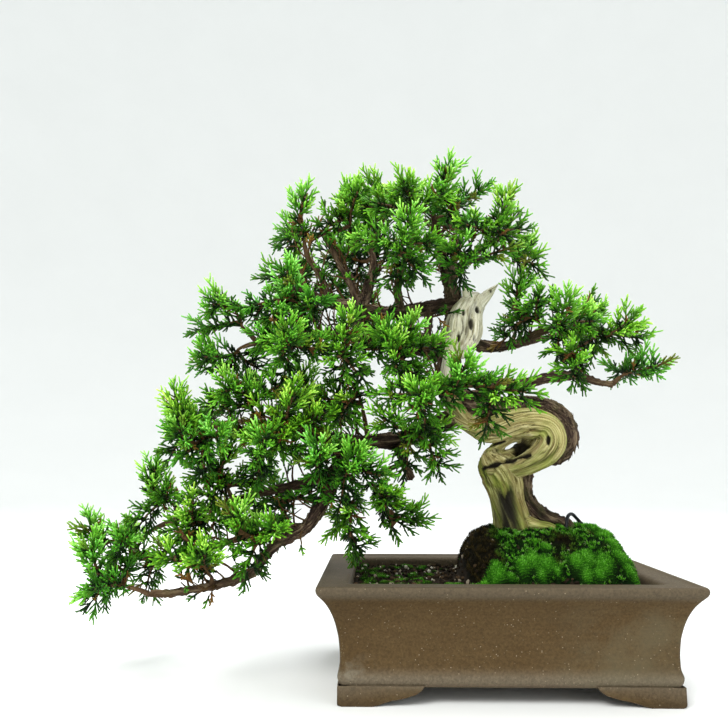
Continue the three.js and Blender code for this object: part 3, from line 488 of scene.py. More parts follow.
def deadwood_material():
    s = Sheet("weathered_deadwood")
    grain = s.vector("grain")
    height = s.value("height")
    broad = s.noise(s.stretch(grain, (0.16, 0.16, 0.018)), 1.0, 4.0, 0.55, 0.4)
    streaks = s.noise(s.stretch(grain, (0.75, 0.75, 0.03)), 1.0, 6.0, 0.62, 0.3)
    fibres = s.noise(s.stretch(grain, (3.2, 3.2, 0.09)), 1.0, 4.0, 0.6)
    pale = s.ramp(streaks, [(0.34, (0.085, 0.065, 0.02)), (0.44, (0.29, 0.25, 0.09)),
                            (0.53, (0.48, 0.43, 0.18)), (0.66, (0.7, 0.65, 0.37))])
    algae = s.rise(s.noise(s.stretch(grain, (0.1, 0.1, 0.03)), 1.0, 3.0), 0.48, 0.62, 0.85)
    algae = s.maths("ADD", algae, s.times(s.value("damp"), 0.55), True)
    pale = s.mix(algae, pale, s.ramp(streaks, [(0.35, (0.06, 0.08, 0.012)), (0.6, (0.29, 0.33, 0.06))]))
    warm = s.rise(broad, 0.5, 0.66, 0.65)
    pale = s.mix(warm, pale, (0.2, 0.13, 0.05))
    # Painted shade: the relief's low places, its grooves and cracks, are darkened.
    dark = s.ramp(height, [(0.1, 0.9), (0.45, 0.0)])
    colour = s.mix(dark, pale, (0.022, 0.017, 0.009))
    colour = s.mix(s.value("stain"), colour, (0.014, 0.012, 0.008))
    bleached = s.ramp(streaks, [(0.34, (0.36, 0.32, 0.19)), (0.46, (0.7, 0.66, 0.48)),
                                (0.62, (0.92, 0.89, 0.73))])
    olive = s.rise(s.noise(s.spot(), 42.0, 3.0), 0.46, 0.62, 0.6)
    shaded = s.times(olive, s.ramp(s.value("left"), [(0.4, 0.1), (0.9, 1.0)]))
    bleached = s.mix(shaded, bleached, (0.3, 0.32, 0.09))
    # Painted shade in the grooves of the bleached wood.
    bleached = s.mix(s.ramp(height, [(0.15, 0.75), (0.5, 0.0)]), bleached, (0.07, 0.06, 0.035))
    colour = s.mix(s.value("grey"), colour, bleached)
    # Painted shade in the hollows and creases.
    colour = s.mix(s.value("pit"), colour, (0.012, 0.009, 0.005))
    lift = s.maths("ADD", streaks, s.times(fibres, 0.4))
    return s.done(colour, 0.75, s.bump(lift, 0.9, 0.0012), 0.12)


def clay_material():
    s = Sheet("unglazed_clay")
    spot = s.spot()
    level = s.value("level")
    lip = s.value("lip")
    broad = s.noise(spot, 9.0, 4.0)
    streaks = s.noise(s.stretch(spot, (14.0, 14.0, 260.0)), 1.0, 4.0, 0.6)
    fine = s.noise(spot, 620.0, 5.0, 0.7)
    base = s.ramp(broad, [(0.3, (0.051, 0.03, 0.01)), (0.55, (0.067, 0.04, 0.014)),
                          (0.75, (0.082, 0.052, 0.021))])
    base = s.mix(0.16, base, s.ramp(streaks, [(0.35, (0.044, 0.025, 0.009)), (0.65, (0.088, 0.056, 0.023))]))
    grey = s.mix(s.times(lip, 0.8), base, (0.086, 0.068, 0.044))
    grey = s.mix(s.times(s.value("moulding"), 0.7), grey, (0.15, 0.12, 0.082))
    grey = s.tinted(grey, s.ramp(fine, [(0.34, 0.74), (0.5, 1.0), (0.68, 1.28)]))
    haze = s.times(s.value("haze"), s.rise(s.noise(spot, 38.0, 5.0), 0.38, 0.66))
    colour = s.mix(s.times(haze, 0.4), grey, (0.115, 0.103, 0.062))
    lime = s.times(s.value("lime"), s.rise(s.noise(spot, 130.0, 6.0, 0.7), 0.46, 0.62))
    colour = s.mix(s.times(lime, 0.4), colour, (0.22, 0.2, 0.15))
    specks = s.ramp(s.cells(spot, 400.0), [(0.07, 0.95), (0.15, 0.0)])
    chosen = s.rise(s.noise(spot, 120.0, 2.0), 0.46, 0.6)
    colour = s.mix(s.times(specks, chosen), colour, (0.34, 0.28, 0.19))
    foot = s.ramp(level, [(0.0, 0.45), (0.06, 0.0)])
    colour = s.mix(foot, colour, (0.04, 0.03, 0.02))
    height = s.maths("ADD", s.times(streaks, 0.6), s.times(fine, 0.5))
    rough = s.ramp(broad, [(0.3, 0.6), (0.7, 0.76)])
    return s.done(colour, rough, s.bump(height, 0.4, 0.0006), 0.14)


def soil_material():
    s = Sheet("soil_grains")
    spot = s.spot()
    tone = s.value("tone")
    grain = s.noise(spot, 700.0, 4.0)
    colour = s.ramp(tone, [(0.0, (0.006, 0.005, 0.003)), (0.55, (0.022, 0.015, 0.009)),
                           (0.78, (0.07, 0.045, 0.024)), (0.9, (0.3, 0.26, 0.19)), (1.0, (0.62, 0.59, 0.5))])
    colour = s.mix(0.5, colour, s.tinted(colour, s.ramp(grain, [(0.3, 0.4), (0.7, 1.5)])))
    return s.done(colour, 0.9, s.bump(grain, 0.7, 0.0005), 0.06)


def moss_material():
    s = Sheet("velvet_moss")
    spot = s.spot()
    lush = s.value("lush")
    age = s.value("age")
    patch = s.noise(spot, 260.0, 4.0)
    # Age and painted shade: near black at the blades' feet and in the gaps, pale at the tips.
    bright = s.ramp(age, [(0.0, (0.001, 0.004, 0.001)), (0.3, (0.006, 0.025, 0.002)),
                          (0.6, (0.03, 0.15, 0.005)), (0.82, (0.1, 0.38, 0.015)), (1.0, (0.55, 0.8, 0.34))])
    brown = s.ramp(age, [(0.0, (0.002, 0.002, 0.001)), (0.5, (0.014, 0.011, 0.003)),
                         (0.85, (0.08, 0.055, 0.014)), (1.0, (0.24, 0.2, 0.08))])
    colour = s.mix(lush, brown, bright)
    colour = s.mix(0.4, colour, s.tinted(colour, s.ramp(patch, [(0.3, 0.55), (0.7, 1.4)])))
    return s.done(colour, 0.85, s.bump(patch, 0.6, 0.0006), 0.05)


def wire_material():
    s = Sheet("black_wire")
    scuffs = s.noise(s.spot(), 500.0, 5.0)
    colour = s.ramp(scuffs, [(0.4, (0.002, 0.002, 0.003)), (0.72, (0.016, 0.016, 0.02))])
    return s.done(colour, s.ramp(scuffs, [(0.3, 0.28), (0.7, 0.45)]), s.bump(scuffs, 0.2, 0.0003), 0.18)


def screen_material():
    s = Sheet("screen_plastic")
    scuffs = s.noise(s.spot(), 800.0, 4.0)
    colour = s.ramp(scuffs, [(0.35, (0.012, 0.013, 0.015)), (0.7, (0.04, 0.04, 0.043))])
    return s.done(colour, 0.5, s.bump(scuffs, 0.2, 0.0003), 0.4)


# Curves of the wood


def smooth_rows(rows, step):
    """A centripetal curve through rows of [x, y, z, half width, half depth], sampled about every step."""
    rows = np.array([list(row) + [row[3]] * (5 - len(row)) for row in rows], float)
    points = np.vstack([2 * rows[0] - rows[1], rows, 2 * rows[-1] - rows[-2]])
    points[0, 3:] = rows[0, 3:]
    points[-1, 3:] = rows[-1, 3:]
    out = []
    for n in range(1, len(points) - 2):
        p0, p1, p2, p3 = points[n - 1: n + 3]
        pairs = ((p0, p1), (p1, p2), (p2, p3))
        t01, t12, t23 = [max(np.linalg.norm((b - a)[:3]) ** 0.5, 1e-4) for a, b in pairs]
        m1 = t12 * ((p1 - p0) / t01 - (p2 - p0) / (t01 + t12) + (p2 - p1) / t12)
        m2 = t12 * ((p2 - p1) / t12 - (p3 - p1) / (t12 + t23) + (p3 - p2) / t23)
        pieces = max(2, int(round(np.linalg.norm((p2 - p1)[:3]) / step)))
        u = np.arange(pieces)[:, None] / pieces
        h = (2 * u ** 3 - 3 * u ** 2 + 1, u ** 3 - 2 * u ** 2 + u, -2 * u ** 3 + 3 * u ** 2, u ** 3 - u ** 2)
        out.append(h[0] * p1 + h[1] * m1 + h[2] * p2 + h[3] * m2)
    out.append(rows[-1:])
    samples = np.vstack(out)
    samples[:, 3:] = np.maximum(samples[:, 3:], 0.6)
    return samples


def frames_along(samples):
    """Directions along, across and in depth at each sample; depth stays close to the world's Y axis."""
    along = unit(np.gradient(samples[:, :3], axis=0))
    if np.abs(along[:, 1]).max() < 0.85:
        wide = unit(np.cross([0.0, 1.0, 0.0], along))
        return along, wide, np.cross(along, wide)
    wide = np.zeros_like(along)
    wide[0] = unit(np.cross([0.0, 0.0, 1.0], along[0]))
    for k in range(1, len(along)):
        turned = wide[k - 1] - along[k] * np.dot(wide[k - 1], along[k])
        wide[k] = unit(turned)
    return along, wide, np.cross(along, wide)


def wood_tube(rows, sides, step, rough=0.0, seed=0):
    """One limb as a tube with bark relief. Grain is the place on its skin, for the bark's pattern."""
    samples = smooth_rows(rows, step)
    along, wide, deep = frames_along(samples)
    count = len(samples)
    angle = np.arange(sides) / sides * 2 * math.pi
    c = np.cos(angle)[None, :, None]
    s = np.sin(angle)[None, :, None]
    half_width = samples[:, 3][:, None, None]
    half_depth = samples[:, 4][:, None, None]
    spokes = wide[:, None, :] * c * half_width + deep[:, None, :] * s * half_depth
    travel = travel_along(samples)
    radius = (samples[:, 3] + samples[:, 4])[:, None] / 2
    grain = np.stack([np.cos(angle)[None, :] * radius, np.sin(angle)[None, :] * radius,
                      np.broadcast_to(travel[:, None], (count, sides)) + 37.0 * seed], axis=-1)
    flat = grain.reshape(-1, 3)
    scale = np.ones((count, sides))
    if rough > 0:
        ragged = np.maximum(0, field(flat * (0.55, 0.55, 0.4) + (0, 0, 50), 1.0))
        relief = field(flat, (0.33, 0.33, 0.07)) + 0.5 * field(flat, (0.9, 0.9, 0.2)) + 1.1 * ragged
        scale += rough * relief.reshape(count, sides) / np.maximum(radius, 1.0)
    points = samples[:, None, :3] + spokes * scale[:, :, None]
    k = np.arange(count - 1)[:, None] * sides
    i = np.arange(sides)[None, :]
    j = (i + 1) % sides
    quads = np.stack([k + i, k + j, k + sides + j, k + sides + i], axis=-1).reshape(-1, 4)
    ends = np.array([samples[0, :3] - along[0] * 0.2, samples[-1, :3] + along[-1] * samples[-1, 3] * 0.6])
    first, last = count * sides, count * sides + 1
    i = np.arange(sides)
    j = (i + 1) % sides
    start_cap = np.stack([i, np.full(sides, first), j], axis=-1)
    i, j = (count - 1) * sides + i, (count - 1) * sides + j
    caps = np.concatenate([start_cap, np.stack([i, j, np.full(sides, last)], axis=-1)])
    flat = np.concatenate([flat, flat[:1], flat[-1:]])
    thick = np.broadcast_to(radius, (count, sides)).ravel() / 10.0
    thick = np.concatenate([thick, thick[:1], thick[-1:]])
    return soup(np.concatenate([points.reshape(-1, 3), ends]), quads, caps, grain=flat, thick=thick)


# The tree's wood, in rows of x, y, z, half width and half depth


DEAD_STRANDS = {
    "column": [(17, 1, 90, 13, 11.5), (17, 1, 101, 14.5, 12.5), (16, 0, 109, 13.2, 11.5),
        (13.5, 0, 122, 13, 10.5), (12, 0, 133, 14.5, 11), (9, 0, 142, 15.5, 11.5),
        (3, 0, 149, 11.5, 9.5), (0, 1, 155, 6, 6)],
    "loop": [(4, -4, 143, 7, 8), (16, -6, 144.5, 7.2, 8), (28, -8, 148, 8.2, 8.5),
        (39, -9, 154, 9.6, 9.5), (45.5, -9, 163, 10, 10), (44, -7, 172, 10, 10),
        (36, -4, 177, 10.2, 10), (24, -2, 178, 9.4, 9.5), (11, 0, 175, 9.6, 9), (-1, 0, 172, 8.8, 8.5),
        (-12, 1, 177, 7.4, 7.5), (-22, 2, 183, 6.4, 6.5), (-28, 3, 189, 4.5, 5)],
    "ridge": [(2, 1, 149, 5, 5), (5, 2, 157, 4.5, 4.5), (14, 3, 164, 3.4, 4), (22, 3, 168.5, 4, 4)],
    "tongue": [(0, 2, 150, 4, 5), (7, 3, 153, 3.4, 4.5), (15, 5, 155.5, 2.8, 4), (23, 8, 158, 2, 3)],
    "hollow_back": [(14, 8, 147, 5, 3.5), (23, 10, 153, 6.5, 3.5), (31, 8, 160, 6, 3.5),
        (38, 4, 167, 4, 3.5)],
    "root": [(22, -3, 107, 6, 6), (33, -4, 103.5, 4.6, 5), (44, -4, 101, 4, 4.5), (53, -3, 93, 3.6, 4)],
    "strip": [(-13, -1, 178, 5, 4), (-24, -6, 192, 4.4, 4), (-31, -7, 208, 4.2, 4),
        (-28, -6, 224, 5, 4.4), (-21, -3, 236, 8, 6)],
    "top": [(-22, -2, 227, 6, 5.5), (-20, -2, 236, 10, 7), (-17, -2, 246, 14, 7.5),
        (-14, -2, 257, 12.8, 7), (-9.5, -2, 266, 10.5, 5.6), (-6, -2, 272, 9, 4.2)],
    "top_left_tip": [(-10, -2, 266, 5, 4), (-13.5, -2, 275, 3.6, 3), (-15.5, -2, 284, 1, 1)],
    "top_right_tip": [(-4, -2, 267, 5, 4), (3, -2, 275, 4, 3), (11, -2, 283, 0.9, 0.9)],
}

LIVE_LIMBS = {
    "vein": [(61, 3, 91, 4.2), (59.5, 3, 100, 4.2), (51, 2, 105.5, 4.4), (40, 1, 110, 4.8),
        (31.5, 0, 117, 4.8), (27.5, 0, 126, 4.2), (27.5, 1, 137, 4), (32, 5, 147, 4.6),
        (44, 7, 152, 5.8), (54, 4, 157, 6.4), (58, 2, 166, 6.8), (56, 3, 177, 7.2), (49, 5, 185, 7.8),
        (38, 7, 189, 8.2), (24, 8, 189, 8.4), (8, 9, 188, 8.8), (-8, 8, 189, 9.4), (-20, 7, 194, 9.6),
        (-27, 6, 206, 9.4), (-27, 7, 224, 8.8), (-24, 9, 242, 8.2), (-21, 10, 258, 7.2),
        (-22, 9, 272, 6.2), (-26, 6, 290, 4.8), (-31, 4, 308, 3.8), (-35, 3, 326, 3),
        (-38, 2, 340, 2.2)],
    "crown_left": [(-22, 8, 270, 5.6), (-45, 4, 265, 5.4), (-73, 2, 262, 4.8), (-97, 0, 265, 4.2),
        (-121, -6, 270, 3.2), (-143, -12, 278, 2.6)],
    "riser_left": [(-95, -2, 262, 4.4), (-97, 0, 273, 3.8), (-101, -2, 284, 3.2), (-111, -4, 302, 2.6),
        (-117, -2, 315, 2.1), (-124, 3, 327, 1.7)],
    "riser_outer": [(-117, -5, 269, 2.9), (-123, -11, 286, 2.3), (-134, -12, 303, 1.9),
        (-137, -8, 316, 1.5)],
    "link_left": [(-92, -14, 241, 4.4), (-96, -8, 251, 4.6), (-96, -2, 263, 4.8)],
    "riser_middle": [(-93, 1, 264, 4.2), (-87, 6, 286, 3.4), (-84, 10, 303, 2.8), (-86, 13, 318, 2.2),
        (-80, 15, 331, 1.8)],
    "riser_front": [(-63, 2, 263, 3.2), (-66, -6, 281, 2.7), (-61, -14, 296, 2.2),
        (-56, -20, 308, 1.9), (-52, -22, 318, 1.6)],
    "crown_right": [(-26, 6, 288, 3.4), (-10, 2, 305, 2.8), (8, -4, 316, 2.2), (18, -7, 319, 1.7)],
    "crown_back": [(-25, 7, 288, 3.4), (-19, 22, 313, 2.8), (-12, 36, 337, 2.2), (-13, 45, 353, 1.7)],
    "link": [(-42, 2, 265, 3), (-43, 0, 240, 3)],
    "middle_left": [(-25, 8, 237, 5.6), (-38, 2, 239, 5.4), (-61, -6, 240, 4.8), (-82, -12, 240, 4.2),
        (-112, -20, 240, 3.4), (-140, -26, 239, 2.8), (-167, -30, 233, 2.2)],
    "middle_back": [(-26, 8, 229, 4.4), (-44, 18, 234, 4), (-71, 34, 242, 3.4), (-108, 46, 252, 2.6),
        (-142, 52, 256, 1.8)],
    "right_high": [(-23, 9, 246, 4.4), (-6, 8, 239, 4.2), (10, 3, 235, 3.6), (25, 0, 238, 3),
        (41, -2, 245, 2.4), (59, -4, 250, 2), (76, -4, 249, 1.6)],
    "right_low": [(-26, 6, 214, 5), (-6, -2, 208, 4.6), (22, -11, 205, 4), (42, -14, 209, 3.4),
        (63, -14, 211, 2.8), (77, -12, 207, 2.4), (91, -10, 205, 2)],
    "right_back": [(10, 3, 235, 2.8), (31, 20, 240, 2.4), (54, 36, 248, 2), (73, 45, 253, 1.6)],
    "front_middle": [(-26, 5, 198, 4.6), (-33, -14, 200, 3.6), (-40, -30, 203, 2.8),
        (-44, -42, 203, 2)],
    "front_right": [(-24, 4, 199, 4.2), (-13, -16, 197, 3.2), (-5, -32, 196, 2.4), (0, -40, 196, 1.8)],
    "cascade": [(-14, 7, 187, 7), (-35, 1, 177, 6.4), (-65, -6, 165, 5.8), (-88, -12, 163, 5.2),
        (-103, -16, 158, 4.8), (-112, -20, 138, 4.4), (-131, -24, 104, 3.8), (-155, -26, 90, 3.3),
        (-169, -28, 73, 3), (-189, -28, 66, 2.6), (-214, -26, 61, 2.3), (-239, -24, 58, 2)],
    "left_middle": [(-96, -14, 162, 4), (-118, -20, 165, 3.4), (-158, -26, 170, 2.6),
        (-186, -28, 172, 2.2)],
    "left_back": [(-84, -11, 163, 3.6), (-114, 10, 168, 3), (-146, 28, 175, 2.5), (-184, 40, 181, 2.1)],
    "left_low": [(-111, -19, 141, 3.6), (-138, -10, 133, 3.2), (-172, 0, 125, 2.7),
        (-206, 6, 115, 2.4), (-238, 8, 104, 2)],
    "low_back": [(-131, -24, 104, 3), (-156, -6, 100, 2.5), (-184, 12, 92, 2.2), (-217, 24, 82, 1.9)],
    "cut_stub": [(-67, -6, 162, 3.8), (-62, -7, 148, 3.2), (-57, -8, 137, 2.8)],
    "left_stub": [(-108, -18, 160, 3.4), (-118, -20, 158, 3.2)],
}

# Where each spray sits on its twig, by group. The sprays of a group are numbered from one.
SEAT_GROUPS = {
    "crown": [(-103, 2, 331), (-76, 16, 342), (-54, -24, 325), (-27, 4, 339), (2, -12, 316),
        (16, -5, 309), (-129, 6, 322), (-63, -22, 309), (-90, 16, 306), (-12, -8, 297)],
    "upper": [(-136, -8, 284), (-128, -18, 264), (-128, 16, 275)],
    "middle": [(-176, -32, 242), (-178, -30, 230), (-140, -28, 233), (-103, -20, 232), (-170, -28, 182),
        (-129, 18, 184)],
    "front": [(-63, -12, 232), (-47, -46, 199), (-28, -46, 200), (-4, -46, 199), (-64, -15, 170),
        (-92, -20, 186)],
    "right": [(41, -4, 250), (56, -10, 251), (82, -6, 246), (96, -12, 210), (66, -21, 214)],
    "left": [(-203, -27, 174), (-138, -32, 168), (-197, -28, 168), (-158, -26, 165), (-117, -25, 157),
        (-104, -27, 146)],
    "low": [(-256, 6, 94), (-233, 8, 115), (-190, -6, 128), (-204, -1, 110), (-146, 0, 121)],
    "cascade": [(-253, -22, 62), (-194, -35, 71), (-150, -32, 98)],
    "hanging": [(-84, -14, 137), (-100, -20, 128)],
    "back": [(-12, 51, 345), (-76, 20, 325), (-71, 42, 248), (77, 44, 254), (-214, 44, 179),
        (-243, 28, 74)],
}
SEATS = {f"{group}_{n + 1}": seat for group, seats in SEAT_GROUPS.items() for n, seat in enumerate(seats)}


def strand_places(rows, step):
    """Samples of one strand with its directions and the distance travelled along it."""
    samples = smooth_rows(rows, step)
    along, wide, deep = frames_along(samples)
    return samples, along, wide, deep, travel_along(samples)


def remeshed(name, s, voxel):
    """Overlapping tubes melted into one skin."""
    mesh = mesh_of(name, s)
    obj = in_scene(name, mesh)
    modifier = obj.modifiers.new("melt", "REMESH")
    modifier.mode = "VOXEL"
    modifier.voxel_size = voxel * 0.001
    melted = evaluated(obj)
    bpy.data.objects.remove(obj)
    bpy.data.meshes.remove(mesh)
    return melted


def points_of(mesh):
    flat = np.empty(len(mesh.vertices) * 3, np.float32)
    mesh.vertices.foreach_get("co", flat)
    return flat.reshape(-1, 3).astype(float) * 1000.0 - SHIFT


def normals_of(mesh):
    flat = np.empty(len(mesh.vertices) * 3, np.float32)
    mesh.vertex_normals.foreach_get("vector", flat)
    return flat.reshape(-1, 3).astype(float)


def move_to(mesh, points):
    mesh.vertices.foreach_set("co", metres(points).astype(np.float32).ravel())
    mesh.update()


def smoothed(mesh, points, rounds, strength=0.5):
    flat = np.empty(len(mesh.edges) * 2, np.int32)
    mesh.edges.foreach_get("vertices", flat)
    a, b = flat.reshape(-1, 2).T
    degree = np.bincount(np.concatenate([a, b]), minlength=len(points))[:, None]
    for _ in range(rounds):
        total = np.zeros_like(points)
        np.add.at(total, a, points[b])
        np.add.at(total, b, points[a])
        points = points + strength * (total / np.maximum(degree, 1) - points)
    return points


def smooth_shaded(mesh):
    mesh.polygons.foreach_set("use_smooth", np.ones(len(mesh.polygons), bool))


def field(points, scale):
    """Perlin noise at each point, from about -1 to 1. The scale is one number, or one for each axis."""
    scaled = points * np.asarray(scale)
    return np.array([noise.noise(Vector(p)) for p in scaled])


def nearest_places(points, places):
    """For each point the nearest sample of any strand, measured in that sample's own half widths."""
    centres = np.concatenate([samples[:, :3] for samples, *_ in places])
    halves = np.concatenate([samples[:, 3:5] for samples, *_ in places])
    wide = np.concatenate([w for _, _, w, _, _ in places])
    deep = np.concatenate([d for _, _, _, d, _ in places])
    travel = np.concatenate([t + 53.0 * n for n, (*_, t) in enumerate(places)])
    size = halves.prod(axis=1)
    best = np.empty(len(points), int)
    for start in range(0, len(points), 4000):
        part = points[start:start + 4000]
        gap = ((part[:, None, :] - centres[None, :, :]) ** 2).sum(axis=2) / size[None, :]
        best[start:start + 4000] = gap.argmin(axis=1)
    away = points - centres[best]
    x = (away * wide[best]).sum(axis=1)
    y = (away * deep[best]).sum(axis=1)
    turn = np.arctan2(y / halves[best, 1], x / halves[best, 0])
    radius = np.sqrt(size[best])
    return best, turn, radius, travel[best]


def line_distance(points, line):
    """The distance in one plane from each point to a line of straight stretches."""
    best = np.full(len(points), 1e9)
    for a, b in zip(line[:-1], line[1:]):
        a, run = np.array(a), np.array(b) - np.array(a)
        t = clamped((points - a) @ run / (run @ run))
        best = np.minimum(best, np.linalg.norm(points - a - t[:, None] * run, axis=1))
    return best


def make_deadwood():
    places = [strand_places(rows, STRAND_STEP) for rows in DEAD_STRANDS.values()]
    strands = [wood_tube(rows, STRAND_SIDES, STRAND_STEP) for rows in DEAD_STRANDS.values()]
    mesh = remeshed("deadwood_skin", together(strands), MELT_GRAIN)
    points = smoothed(mesh, points_of(mesh), 6)
    move_to(mesh, points)
    normals = normals_of(mesh)
    _, turn, radius, travel = nearest_places(points, places)
    grain = np.stack([np.cos(turn) * radius, np.sin(turn) * radius, travel], axis=1)
    twisted = grain.copy()
    twist = travel * 0.012
    twisted[:, 0] = np.cos(turn + twist) * radius
    twisted[:, 1] = np.sin(turn + twist) * radius
    flutes = field(twisted, (0.21, 0.21, 0.022))
    grooves = field(twisted + 71.0, (0.6, 0.6, 0.035))
    fine = field(twisted + 133.0, (1.5, 1.5, 0.06))
    crack = 1 - np.abs(field(twisted + 211.0, (0.3, 0.3, 0.018)))
    crack = clamped((crack - 0.93) / 0.07) * clamped(field(points, 0.05) * 3 + 0.4)
    strength = np.clip(radius / 9.0, 0.25, 1.0)
    relief = FLUTE_DEPTH * flutes + GROOVE_DEPTH * grooves + FIBRE_DEPTH * fine - CRACK_DEPTH * crack
    lift = strength * relief
    # Painted shade in the hollows and creases: how dark each place is.
    pit = np.zeros(len(points))
    ragged = 1 + 0.35 * field(points + 17.0, 0.25)
    for place, size, depth, shade in HOLLOWS:
        inside = clamped(1 - np.linalg.norm((points - place) / size, axis=1) * ragged)
        lift -= depth * np.minimum(1, 2 * inside)
        pit = np.maximum(pit, shade * np.minimum(1, 2.5 * inside))
    facing = clamped(-3 * normals[:, 1] - 0.3)
    wander = 0.5 * field(points, 0.4)
    swell = np.clip(1 + 1.5 * field(points + 29.0, 0.15), 0.35, 1.5)
    for line, half_width, depth, shade in CREASES:
        away = line_distance(points[:, [0, 2]], line) + wander
        inside = clamped(1 - away / (half_width * swell)) * facing
        lift -= depth * inside
        pit = np.maximum(pit, shade * np.minimum(1, 1.6 * inside))
    move_to(mesh, points + normals * lift[:, None])
    points = points_of(mesh)
    # Height of the relief; the material paints shade into its low places.
    height = clamped(0.55 + 0.28 * lift)
    damp = clamped((154 - points[:, 2]) / 22) * np.clip((24 - points[:, 0]) / 12, 0.1, 1)
    front = clamped(-normals[:, 1] * 2)
    strip = np.exp(-(((points[:, 0] - STAIN_X - STAIN_SLOPE * (points[:, 2] - 105)) / STAIN_WIDTH) ** 4))
    low_down = clamped((136 - points[:, 2] + 14 * field(points, (0.3, 0.3, 0.02))) / 12)
    stain = strip * low_down * front * clamped(1.2 + field(twisted, (0.4, 0.4, 0.03)))
    grey = clamped((points[:, 2] - 196) / 18)
    left = clamped(0.5 - 0.5 * normals[:, 0])
    give(mesh, grain=twisted, height=height, stain=stain, grey=grey, left=left, pit=pit, damp=damp)
    smooth_shaded(mesh)
    return piece("deadwood_carved", mesh, [deadwood_material()], "deadwood", "deadwood")


def nearest_on_limbs(point):
    best = None
    for rows in LIVE_LIMBS.values():
        for a, b in zip(rows[:-1], rows[1:]):
            for t in (0.0, 0.25, 0.5, 0.75, 1.0):
                at = np.array(a[:3]) * (1 - t) + np.array(b[:3]) * t
                gap = np.linalg.norm(at - point)
                if best is None or gap < best[0]:
                    best = (gap, at)
    return best[1]


def bark_flakes(rows, number):
    """Loose flakes of bark: slim points that lie along the limb and lift at one end."""
    rng = np.random.default_rng(FLAKE_SEED + number)
    samples = smooth_rows(rows, 1.0)
    along, wide, deep = frames_along(samples)
    weight = samples[:, 3] * (samples[:, 3] > 2.2)
    count = int(weight.sum() * FLAKES)
    chosen = rng.choice(len(samples), count, p=weight / weight.sum())
    turn = any_turn(rng, count)
    radius = samples[chosen, 3]
    out = wide[chosen] * np.cos(turn)[:, None] + deep[chosen] * np.sin(turn)[:, None]
    root = samples[chosen, :3] + out * (0.94 * radius)[:, None]
    run = rng.uniform(2.0, 7.5, count) * rng.choice([-1, 1], count)
    raised = rng.uniform(0.3, 2.6, count) * np.clip(radius / 7, 0.35, 1)
    lean = along[chosen] * run[:, None] + out * raised[:, None]
    grain = np.stack([np.cos(turn) * radius, np.sin(turn) * radius, chosen + 37.0 * number], axis=1)
    further = grain + np.stack([0 * run, 0 * run, run], axis=1)
    return blades(*root.T, lean, 0 * run, rng.uniform(0.6, 2.1, count) * np.clip(radius / 6, 0.4, 1), rng,
                  grain=(grain, further), thick=(radius / 10 + 2, radius / 10 + 2))


def loop_bark(row):
    (x, z), (half_x, half_z), thickness = LOOP_BARK
    return thickness * math.exp(-((row[0] - x) / half_x) ** 2 - ((row[2] - z) / half_z) ** 2)


def make_live_wood():
    parts = []
    for number, (name, rows) in enumerate(LIVE_LIMBS.items()):
        thick = max(row[3] for row in rows)
        sides, step = 16 if thick > 4 else 11, LIMB_STEP
        if name == "vein":
            sides, step = VEIN_SIDES, VEIN_STEP
            rows = [(*row[:3], row[3] + loop_bark(row)) for row in rows]
        parts.append(wood_tube(rows, sides, step, THICK_RELIEF if thick > 4 else THIN_RELIEF, number))
        if thick > 2.8:
            parts.append(bark_flakes(rows, number))
    for number, seat in enumerate(SEATS.values()):
        start = nearest_on_limbs(np.array(seat, float))
        end = np.array(seat, float)
        middle = (start + end) / 2 + [0, 0, 0.04 * np.linalg.norm(end - start)]
        rows = [(*start, 2.0), (*middle, 1.7), (*end, 1.4)]
        parts.append(wood_tube(rows, 8, 1.8, 0.2, 40 + number))
    mesh = mesh_of("live_wood_bark", together(parts))
    return piece("live_wood_bark", mesh, [bark_material()], "bark", "live_wood")


# Foliage


def branchlets(base, heading, length, bend, radius, taper, rings, sides, age, tone, dry):
    """Tubes from their bases along their headings. Bend is how far the far half turns from the heading."""
    share = np.linspace(0, 1, rings)[None, :]
    u = share[:, :, None]
    length = length[:, None, None]
    paths = base[:, None, :] + heading[:, None, :] * length * u + bend[:, None, :] * length * u ** 2
    widths = np.full((len(base), 1), radius) * (1 - taper * share)
    ages = age[0][:, None] + (age[1] - age[0])[:, None] * share
    tones = np.repeat(tone[:, None], rings, axis=1)
    dries = np.repeat(dry[:, None], rings, axis=1)
    travelled = length[:, :, 0] * share
    return tubes(paths, widths, sides, 0.4, 0, age=ages, tone=tones, dry=dries, along=travelled)


def around(heading, turn):
    """A direction square to each heading, turned about it."""
    reference = np.where(np.abs(heading[:, 2:3]) < 0.8, [[0.0, 0.0, 1.0]], [[0.0, -1.0, 0.0]])
    side = unit(np.cross(heading, reference))
    up = np.cross(side, heading)
    return side * np.cos(turn)[:, None] + up * np.sin(turn)[:, None]


